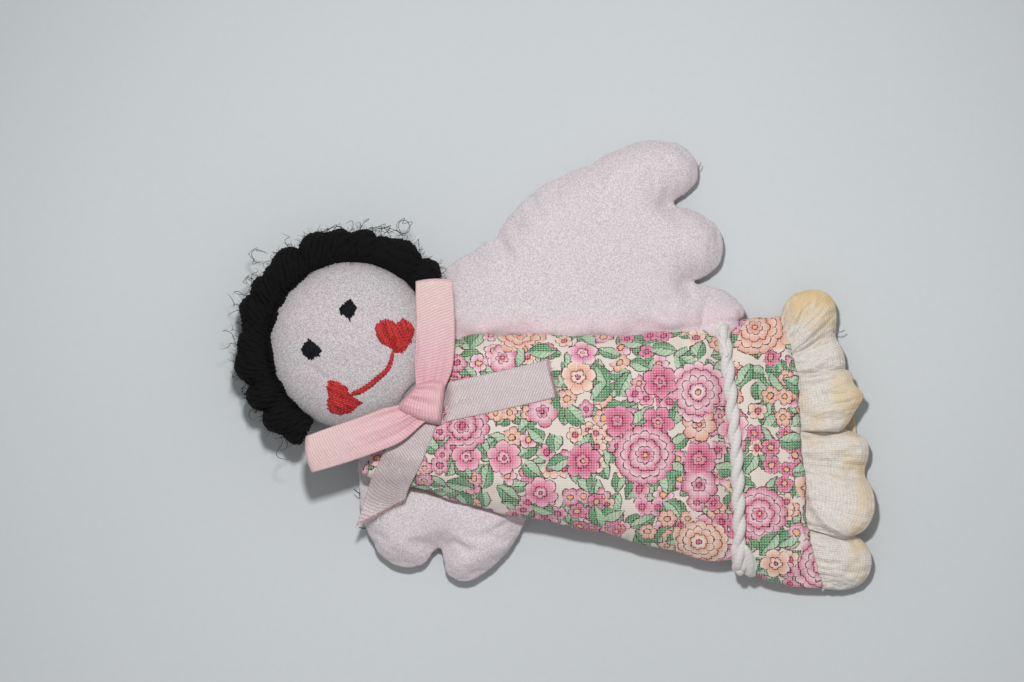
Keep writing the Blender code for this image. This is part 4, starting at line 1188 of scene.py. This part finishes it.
def loop_piece(name, route, folds, bow, lean):
    """A loop of the bow, out along the top, round its fold and back below."""
    line, length = even_line(smooth_line([spot(*p) for p in route], 10), 36)
    count = len(line) - 1
    rows, cuts = [], []
    across = 24

    def row(i, rise, forward, run):
        along = (line[min(i + 1, count)] - line[max(i - 1, 0)]).normalized()
        side = Vector((-along.y, along.x))
        half = half_width(length * i / count)
        share = length * i / count
        made, cut = [], []
        for k in range(across + 1):
            v = 2 * k / across - 1
            rounded = (share / length) ** 3 * (lean * (v - 1) / 2 - bow * v * v)
            edge = half - 0.25 * MM * (share / length) ** 8
            p = line[i] + along * (forward + rounded) + side * v * edge
            base = max(BOW_HEIGHT, height_over(under_bow, p.x, p.y) + 0.6 * MM)
            pinch = exp(-share / (7 * MM))
            gather = (0.55 * cos(v * pi * folds) + 0.25 * cos(v * pi * 5 + 1)) * pinch * MM
            curl = 0.25 * MM * (1 - v * v) * (1 - pinch)
            made.append((p.x, p.y, base + 0.3 * MM + rise * (1 - 0.75 * pinch) + gather + curl))
            cut.append((v * RIBBON_WIDTH / 2, run))
        rows.append(made)
        cuts.append(cut)

    for i in range(count + 1):
        row(i, LOOP_OPEN, 0.0, length * i / count)
    for k in range(1, 8):
        turn = pi / 2 - pi * k / 8
        row(count, LOOP_OPEN / 2 * (1 + sin(turn)), LOOP_OPEN / 2 * cos(turn),
            length + LOOP_FOLD * k / 8)
    whole = 2 * length + LOOP_FOLD
    for i in reversed(range(count + 1)):
        row(i, 0.0, 0.0, whole - length * i / count)
    return sheet_mesh(name, rows, cuts, RIBBON_THICK), whole


def tail_piece(name, route, least, slant):
    """A free end of the ribbon with a slanted, fraying cut."""
    line, length = even_line(smooth_line([spot(*p) for p in route], 10), 60)
    count = len(line) - 1
    across = 24
    rows, cuts = [], []
    for i, p0 in enumerate(line):
        along = (line[min(i + 1, count)] - line[max(i - 1, 0)]).normalized()
        side = Vector((-along.y, along.x))
        share = i / count
        half = RIBBON_WIDTH / 2
        made, cut = [], []
        for k in range(across + 1):
            v = 2 * k / across - 1
            chance = noise.noise(Vector((k * 0.9, slant * 300, 0)))
            ragged = 0.35 * MM * chance * max(share - 0.9, 0) * 10
            p = p0 + side * v * half + along * (slant * v * share ** 3 + ragged)
            low = least(p) if callable(least) else least
            base = max(low, height_over(under_bow, p.x, p.y) + 0.5 * MM)
            pinch = exp(-length * share / (6 * MM))
            made.append((p.x, p.y, base + 0.3 * MM + 0.5 * MM * cos(v * pi * 2.5) * pinch))
            cut.append((v * RIBBON_WIDTH / 2, length * share))
        rows.append(made)
        cuts.append(cut)
    smoothed = np.array(rows)
    for _ in range(6):
        smoothed[1:-1, :, 2] = (smoothed[:-2, :, 2] + smoothed[1:-1, :, 2] * 2 + smoothed[2:, :, 2]) / 4
        smoothed[:, 1:-1, 2] = (smoothed[:, :-2, 2] + smoothed[:, 1:-1, 2] * 2 + smoothed[:, 2:, 2]) / 4
    fray = []
    for k in range(across * 2 + 1):
        v = k / 2
        a, b = int(v), min(int(v) + 1, across)
        end = Vector(smoothed[-1][a]).lerp(Vector(smoothed[-1][b]), v - a)
        back = Vector(smoothed[-4][a]).lerp(Vector(smoothed[-4][b]), v - a)
        away = (end - back).normalized()
        chance = noise.noise(Vector((k * 3.1, slant * 500, 2)))
        reach = (0.8 + 1.1 * abs(chance)) * MM
        bend = Vector((chance, -chance, 0.3 * chance)) * 0.5 * MM
        fray.append([end - away * MM, end, end + away * reach * 0.5 + bend * 0.4,
                     end + away * reach + bend])
    piece = sheet_mesh(name, smoothed.tolist(), cuts, RIBBON_THICK)
    return piece, length, fray


# Middle lines of the bow's parts, as picture points from the knot out
RIGHT_LOOP = [(427, 402), (434, 365), (436, 330), (434.5, 283)]
LEFT_LOOP = [(424, 408), (397, 423), (361, 437), (331, 447), (308, 454.5)]
RIGHT_TAIL = [(430, 406), (446, 402), (500, 390.5), (551, 378.5)]
LEFT_TAIL = [(422, 406), (416, 426), (404, 455), (391, 482), (381, 512)]
TAIL_CUT = 5.2 * MM


def knot_piece():
    """The wrap of ribbon round the knot, pleated towards its narrow corner."""
    corners = [spot(395.5, 407.5), spot(441.0, 424.5), spot(446.0, 381.0), spot(419.0, 383.0)]
    steps = 36
    rows, cuts = [], []
    for j in range(steps + 1):
        s = j / steps
        made, cut = [], []
        for i in range(steps + 1):
            t = i / steps
            low = corners[0].lerp(corners[1], t)
            high = corners[3].lerp(corners[2], t)
            bulge = 0.8 * MM * sin(pi * t)
            out = (low - high).normalized()
            p = low.lerp(high, s) + out * bulge * (1 - 2 * s)
            rim = min(1.0, 7 * min(s, 1 - s)) * min(1.0, 9 * min(t, 1 - t))
            dome = sqrt(1 - (1 - rim) ** 2)
            pleat = 0.35 * MM * cos((s * 3.2 + 0.2) * 2 * pi) * (1 - t) ** 1.2
            made.append((p.x, p.y, 21.2 * MM + 4.1 * MM * dome + pleat * dome))
            cut.append((s * RIBBON_WIDTH - RIBBON_WIDTH / 2, t * KNOT_WIDE))
        rows.append(made)
        cuts.append(cut)
    return sheet_mesh("ribbon_knot", rows, cuts, RIBBON_THICK)


def collar_piece():
    """The ribbon where it is tied round the neck."""
    rows, cuts = [], []
    count = 96
    below, neck_wide, neck_deep = 22.25 * MM, 10.35 * MM, 6.45 * MM
    for k in range(count):
        turn = 2 * pi * k / count
        made, cut = [], []
        for i in range(9):
            v = i / 4 - 1
            plan = (HEAD_AT + HEAD_RIGHT * cos(turn) * neck_wide
                    - HEAD_UP * (below - v * COLLAR_WIDE / 2))
            pleat = 0.12 * MM * cos(v * pi * 3 + 2 * sin(turn * 3))
            made.append((plan.x, plan.y, HEAD_MIDDLE - MM + sin(turn) * (neck_deep + pleat)))
            cut.append((v * RIBBON_WIDTH / 2, COLLAR_LONG * k / count))
        rows.append(made)
        cuts.append(cut)
    return sheet_mesh("ribbon_collar", rows, cuts, RIBBON_THICK, closed=True)


def left_tail_level(p):
    """The least height of the left tail, which slopes down from the knot."""
    away = (p - KNOT).length
    return max(12.4 * MM, 20.4 * MM - 0.62 * max(0.0, away - 16 * MM))


right_loop, right_loop_length = loop_piece("ribbon_right_loop", RIGHT_LOOP, folds=1.5,
                                           bow=0.5 * MM, lean=0.0)
left_loop, left_loop_length = loop_piece("ribbon_left_loop", LEFT_LOOP, folds=2.0,
                                         bow=0.9 * MM, lean=1.4 * MM)
right_tail, right_tail_length, right_fray = tail_piece("ribbon_right_tail", RIGHT_TAIL,
                                                       least=14 * MM, slant=0.0)
left_tail, left_tail_length, left_fray = tail_piece("ribbon_left_tail", LEFT_TAIL,
                                                    least=left_tail_level, slant=-TAIL_CUT)
knot = knot_piece()
collar = collar_piece()
fray = twisted("ribbon_fray", right_fray + left_fray, SATIN, plies=1, radius=0.05, offset=0.0,
               half_turn=1, spacing=0.4, sides=4, taper=0.6, thin=0.4)
for strip, finish in ((right_loop, SATIN), (left_loop, SATIN), (right_tail, SHEER), (left_tail, SHEER),
                      (knot, SATIN), (collar, SATIN), (fray, None)):
    dress_up(strip, "ribbon_bow", finish)


# Hem braid and ruffle

def braid_route():
    """The middle line of the CAD cord, a loop round the dress."""
    points = points_of(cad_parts["hem_braid"].data)
    middle = (points.min(0) + points.max(0)) / 2
    across = (points[:, :2] - middle[:2]) @ np.array(HEM_ALONG)
    height = (points[:, 2] - middle[2]) * (np.ptp(across) / np.ptp(points[:, 2]))
    turns = np.arctan2(height, across)
    route = []
    bins = 140
    for k in range(bins):
        turn = -pi + 2 * pi * (k + 0.5) / bins
        off = np.abs((turns - turn + pi) % (2 * pi) - pi)
        near = off < 2 * pi / bins * 1.6
        if near.sum() > 3:
            route.append(Vector(points[near].mean(0)))
    for _ in range(4):
        route = [(route[i - 1] + route[i] * 2 + route[(i + 1) % len(route)]) / 4
                 for i in range(len(route))]
    return route


def braid_piece():
    """The twisted cord, laid on the dress in front and a little bowed outwards."""
    route = []
    on_dress = tree_of(dress)
    for p in braid_route():
        along, _ = hem_place(p.x, p.y)
        if p.z > 6 * MM:
            bow = 1.5 * MM * sin(pi * min(max(along / (HEM_RIGHT - HEM_LEFT).length, 0), 1))
            plan = p.to_2d() + HEM_OUT * bow
            p = Vector((*plan, max(p.z, height_over(on_dress, plan.x, plan.y) + 0.7 * MM)))
        route.append(p)
    cord = twisted("hem_braid_cord", [route + route[:1]], WHITE, plies=2, radius=1.2, offset=0.66,
                   half_turn=5.8, spacing=0.35, sides=14, taper=0.5, thin=0.9)
    return dress_up(cord, "hem_braid", None)


# The cord's flat end: picture points down its middle, and half its width there in picture points
FLAT_END = [(710, 321, 6.2), (713, 327, 6.0), (717, 334, 5.2), (721, 342, 4.2), (724, 350, 3.4),
            (726, 357, 2.2)]


def braid_ends():
    """The flat end of the cord at the right seam and its folded knob at the left one."""
    over = tree_of(dress, braid)
    rows, cuts = [], []
    for j, (px, py, half) in enumerate(FLAT_END):
        made, cut = [], []
        for i in range(9):
            v = i / 4 - 1
            p = spot(px + v * half, py + v * half * 0.35 - abs(v) * 1.5)
            made.append((p.x, p.y, height_over(over, p.x, p.y) + (0.5 - 0.3 * v * v) * MM))
            cut.append((v * half * PICTURE_SCALE, j * 2 * MM))
        rows.append(made)
        cuts.append(cut)
    flat_end = sheet_mesh("hem_braid_flat_end", rows, cuts, 0.5 * MM)
    rounder = flat_end.modifiers.new("rounder", "SUBSURF")
    rounder.levels = rounder.render_levels = 2
    baked(flat_end)
    keep_number(flat_end.data, "along", points_of(flat_end.data)[:, 1])
    work = bmesh.new()
    bmesh.ops.create_icosphere(work, subdivisions=4, radius=1.0)
    knob_mesh = bpy.data.meshes.new("hem_braid_knob")
    work.to_mesh(knob_mesh)
    work.free()
    knob = new_object("hem_braid_knob", knob_mesh)
    shape = points_of(knob_mesh)
    fold = 1 + 0.16 * np.sin(shape[:, 0] * 4 + shape[:, 1] * 5) * np.clip(shape[:, 2], 0, 1)
    shape = np.sign(shape) * np.abs(shape) ** 0.8 * fold[:, None]
    low, high = spot(734, 544), spot(757, 576)
    middle, axis = (low + high) / 2, (high - low)
    plan = np.outer(shape[:, 1], np.array(axis) / 2) + np.outer(
        shape[:, 0], np.array((-axis.y, axis.x)) / axis.length * 2.7 * MM)
    base = height_over(tree_of(dress), middle.x, middle.y)
    tilt = (plan @ np.array(picture_up)) * 0.55
    heights = base + 0.4 * MM + shape[:, 2] * 1.9 * MM + tilt
    move_points(knob_mesh, np.column_stack([plan + np.array(middle), heights]))
    keep_number(knob_mesh, "along", shape[:, 1] * 4 * MM)
    for piece in (flat_end, knob):
        dress_up(piece, "hem_braid", WHITE)


# The ruffle's flat size, then its folds from the right seam down: share of the hem, the outer edge's
# picture point, and its height in mm. The edge turns back where a fold covers the next one.
RUFFLE_LONG, RUFFLE_DEEP = 200 * MM, 15 * MM
RUFFLE_EDGE = [(0.00, 783, 314, 3.6), (0.02, 787, 303, 5.0), (0.04, 795, 294.5, 6.4),
               (0.06, 806, 290.5, 7.2), (0.08, 818, 290, 7.6), (0.10, 829, 294, 7.4),
               (0.115, 835.5, 303, 7.0), (0.13, 837.5, 315, 6.6), (0.145, 837, 327, 5.4),
               (0.155, 837, 337, 4.4), (0.165, 841, 345, 5.4), (0.18, 845, 354, 6.4),
               (0.195, 846.5, 364, 6.0), (0.205, 846, 372, 5.0), (0.21, 842, 379, 4.0),
               (0.212, 838, 374, 6.0), (0.214, 838, 370.5, 8.6), (0.222, 846, 370, 8.8),
               (0.235, 852, 373, 8.8), (0.26, 854.5, 383, 9.2), (0.29, 860, 390, 9.6),
               (0.32, 864.5, 396, 9.4), (0.345, 860, 405, 9.2), (0.37, 855, 413, 9.0),
               (0.39, 848.5, 424, 8.8), (0.405, 840, 431.5, 8.2), (0.41, 836, 429, 6.0),
               (0.412, 840, 424, 4.0), (0.415, 848, 430, 4.2), (0.43, 858, 434.5, 5.2),
               (0.45, 866, 439, 6.2), (0.475, 870, 448, 6.6), (0.50, 869.5, 459, 6.0),
               (0.525, 866.5, 469, 4.6), (0.545, 867, 478, 4.6), (0.57, 872.5, 487, 6.4),
               (0.60, 875.5, 499, 7.6), (0.64, 875.5, 511, 8.4), (0.68, 871, 523, 8.8),
               (0.715, 864, 531.5, 8.8), (0.74, 852, 536.5, 8.4), (0.755, 841, 538, 7.8),
               (0.762, 838, 533, 5.6), (0.765, 843, 528, 3.8), (0.77, 852, 534, 4.0),
               (0.79, 862, 540, 5.2), (0.82, 869.5, 549, 6.0), (0.86, 873, 561, 6.2),
               (0.90, 870.5, 574, 5.8), (0.93, 863, 584, 5.2), (0.955, 851, 589.5, 4.6),
               (0.98, 838, 590.5, 4.0), (1.0, 822, 588, 3.2)]
# The line of the turned fold in the picture, and how stained the gauze is down the picture
ROLL = [(806, 484), (813, 503), (820, 515), (832, 529), (850, 537)]
STAINS = [(290, 1.3), (325, 0.8), (345, 0.15), (368, 0.25), (380, 0.6), (400, 0.85), (425, 0.45),
          (445, 0.45), (465, 0.5), (490, 0.25), (520, 0.15), (540, 0.1), (565, 0.25), (590, 0.25)]


def ruffle_piece():
    """The gathered strip round the hem: folds in front, a plainer side behind."""
    front, behind, across, hem_steps = 310, 80, 24, 200
    hem, _ = even_line([spot(*p) for p in HEM_LINE], hem_steps)
    edges, _ = even_line(smooth_line([Vector(p) for p in RUFFLE_EDGE], 8), front - 1)
    back = [RUFFLE_EDGE[-1], (0.6, 868, 500, 1.2), (0.3, 852, 390, 1.2), RUFFLE_EDGE[0]]
    straight, _ = even_line([Vector(p) for p in back], behind + 1)
    rows, cuts = [], []
    for k, (share, px, py, edge_height) in enumerate(edges + straight[1:-1]):
        seen = k < front
        start, end = hem[round(min(max(share, 0), 1) * hem_steps)], spot(px, py)
        start = start - HEM_OUT * 0.5 * MM
        side = min(share, 1 - share)
        hem_height = 3.6 + (2.6 if seen else -2.2) * min(1.0, side * 12)
        strip = k / (front + behind)
        made, cut = [], []
        for i in range(across + 1):
            v = i / across
            height = hem_height + (edge_height - hem_height) * sin(pi / 2 * min(1.0, v * 1.3))
            if seen:
                chances = [noise.noise(Vector((strip * f, v * g, f))) for f, g in
                           ((62, 1.6), (34, 1.1), (110, 4.0), (240, 9.0))]
                open_out = min(1.0, side * 14)
                height += (1.5 * sin(pi * v) * open_out
                           + chances[0] * 0.9 * (1 - v) ** 1.3 * min(1.0, v * 9)
                           + chances[1] * 1.6 * sin(pi * min(1, v * 1.1))
                           + (chances[2] * 0.6 + chances[3] * 0.35) * min(1.0, v * 8)
                           - 1.3 * max(0.0, v - 0.88) / 0.12)
            else:
                height += 0.5 * noise.noise(Vector((share * 30, v * 2, 5))) * v
            p = start.lerp(end, v)
            made.append((p.x, p.y, max(height, 0.45) * MM))
            cut.append((strip * RUFFLE_LONG, v * RUFFLE_DEEP))
        rows.append(made)
        cuts.append(cut)
    piece = sheet_mesh("hem_ruffle_cloth", rows, cuts, 0.45 * MM, closed=True)
    subdivide(piece)
    points = points_of(piece.data)
    px, py = picture_place(points)
    upper = points[:, 2] > 4.2 * MM
    off = distance_to(points, [spot(*p) for p in ROLL])
    near_hem = np.clip((810 + (py - 484) * 0.62 - px) / 6, -1, 1) * (py > 470)
    points[:, 2] += upper * (2.2 * np.exp(-(off / (1.2 * MM)) ** 2)
                             - 1.2 * np.exp(-(off / (3 * MM)) ** 2) * np.clip(near_hem, 0, 1)) * MM
    move_points(piece.data, points)
    stains = np.interp(py, *zip(*STAINS)) + 0.25 * np.clip((px - 845) / 15, 0, 1)
    keep_number(piece.data, "stain", stains)
    return dress_up(piece, "hem_ruffle", GAUZE)


braid = braid_piece()
braid_ends()
ruffle = ruffle_piece()


# Loose threads

def loose_threads():
    """Short ends of sewing thread; each point is px, py and a height in mm."""
    tan = yarn_finish("tan thread", paint(120, 108, 98), paint(176, 164, 152), 0.4 * MM)
    for name, node, finish, route in (
            ("hem_thread", "hem_ruffle", tan,
             [(834, 331, 5.5), (838, 332, 5.2), (842, 332, 4.6), (846, 330, 4.0)]),
            ("wing_thread", "wings", tan, [(699, 168, 4.4), (700.5, 165, 4.6), (701.5, 162, 4.3)]),
            ("seam_thread_upper", "wings", BLACK,
             [(361.5, 494.5, 3.8), (357, 493, 4.4), (353.5, 489.5, 4.2)]),
            ("seam_thread_lower", "wings", BLACK,
             [(370, 527, 3.8), (363.5, 529, 4.4), (358.5, 528, 3.8)])):
        line = [(*spot(px, py), height * MM) for px, py, height in route]
        thread = twisted(name, [line], finish, plies=2, radius=0.09, offset=0.07, half_turn=0.8,
                         spacing=0.3, sides=5, taper=0.5, thin=0.6)
        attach(thread, "root")


loose_threads()


# Table, light and camera

def table_piece():
    mesh = bpy.data.meshes.new("table")
    reach = 2.0
    mesh.from_pydata([(-reach, -reach, 0), (reach, -reach, 0), (reach, reach, 0), (-reach, reach, 0)],
                     [], [(0, 1, 2, 3)])
    table = new_object("table", mesh)
    mesh.materials.append(table_finish().material)


def lamp(name, place, aim, radius, power, cone):
    light = bpy.data.lights.new(name, "SPOT")
    light.shadow_soft_size = radius
    light.energy = power
    light.spot_size = cone
    light.spot_blend = 1.0
    made = new_object(name, light)
    made.location = place
    made.rotation_euler = (Vector(aim) - Vector(place)).to_track_quat("-Z", "Y").to_euler()


def world_light(strength):
    world = bpy.data.worlds.new("room")
    scene.world = world
    world.use_nodes = True
    sky = world.node_tree.nodes["Background"].inputs
    sky["Color"].default_value = (0.97, 0.985, 1.0, 1.0)
    sky["Strength"].default_value = strength


def camera():
    """The photo's view: from straight above, through a long lens."""
    lens, wide = 300.0, 266.2 * MM
    data = bpy.data.cameras.new("camera")
    data.lens = lens
    made = new_object("camera", data)
    plan = spot(512.0, 341.0)
    made.location = (plan.x, plan.y, wide * lens / data.sensor_width + 12 * MM)
    made.rotation_euler = (0, 0, PICTURE_TURN)
    scene.camera = made


table_piece()
from_side = picture_up * 0.15 - picture_right * 0.04
lit = spot(560, 475)
lamp("flash", place=(from_side.x, from_side.y, 0.55), aim=(lit.x, lit.y, 0), radius=0.024,
     power=8.6, cone=radians(62))
world_light(strength=0.33)
camera()

scene.view_settings.view_transform = "Standard"
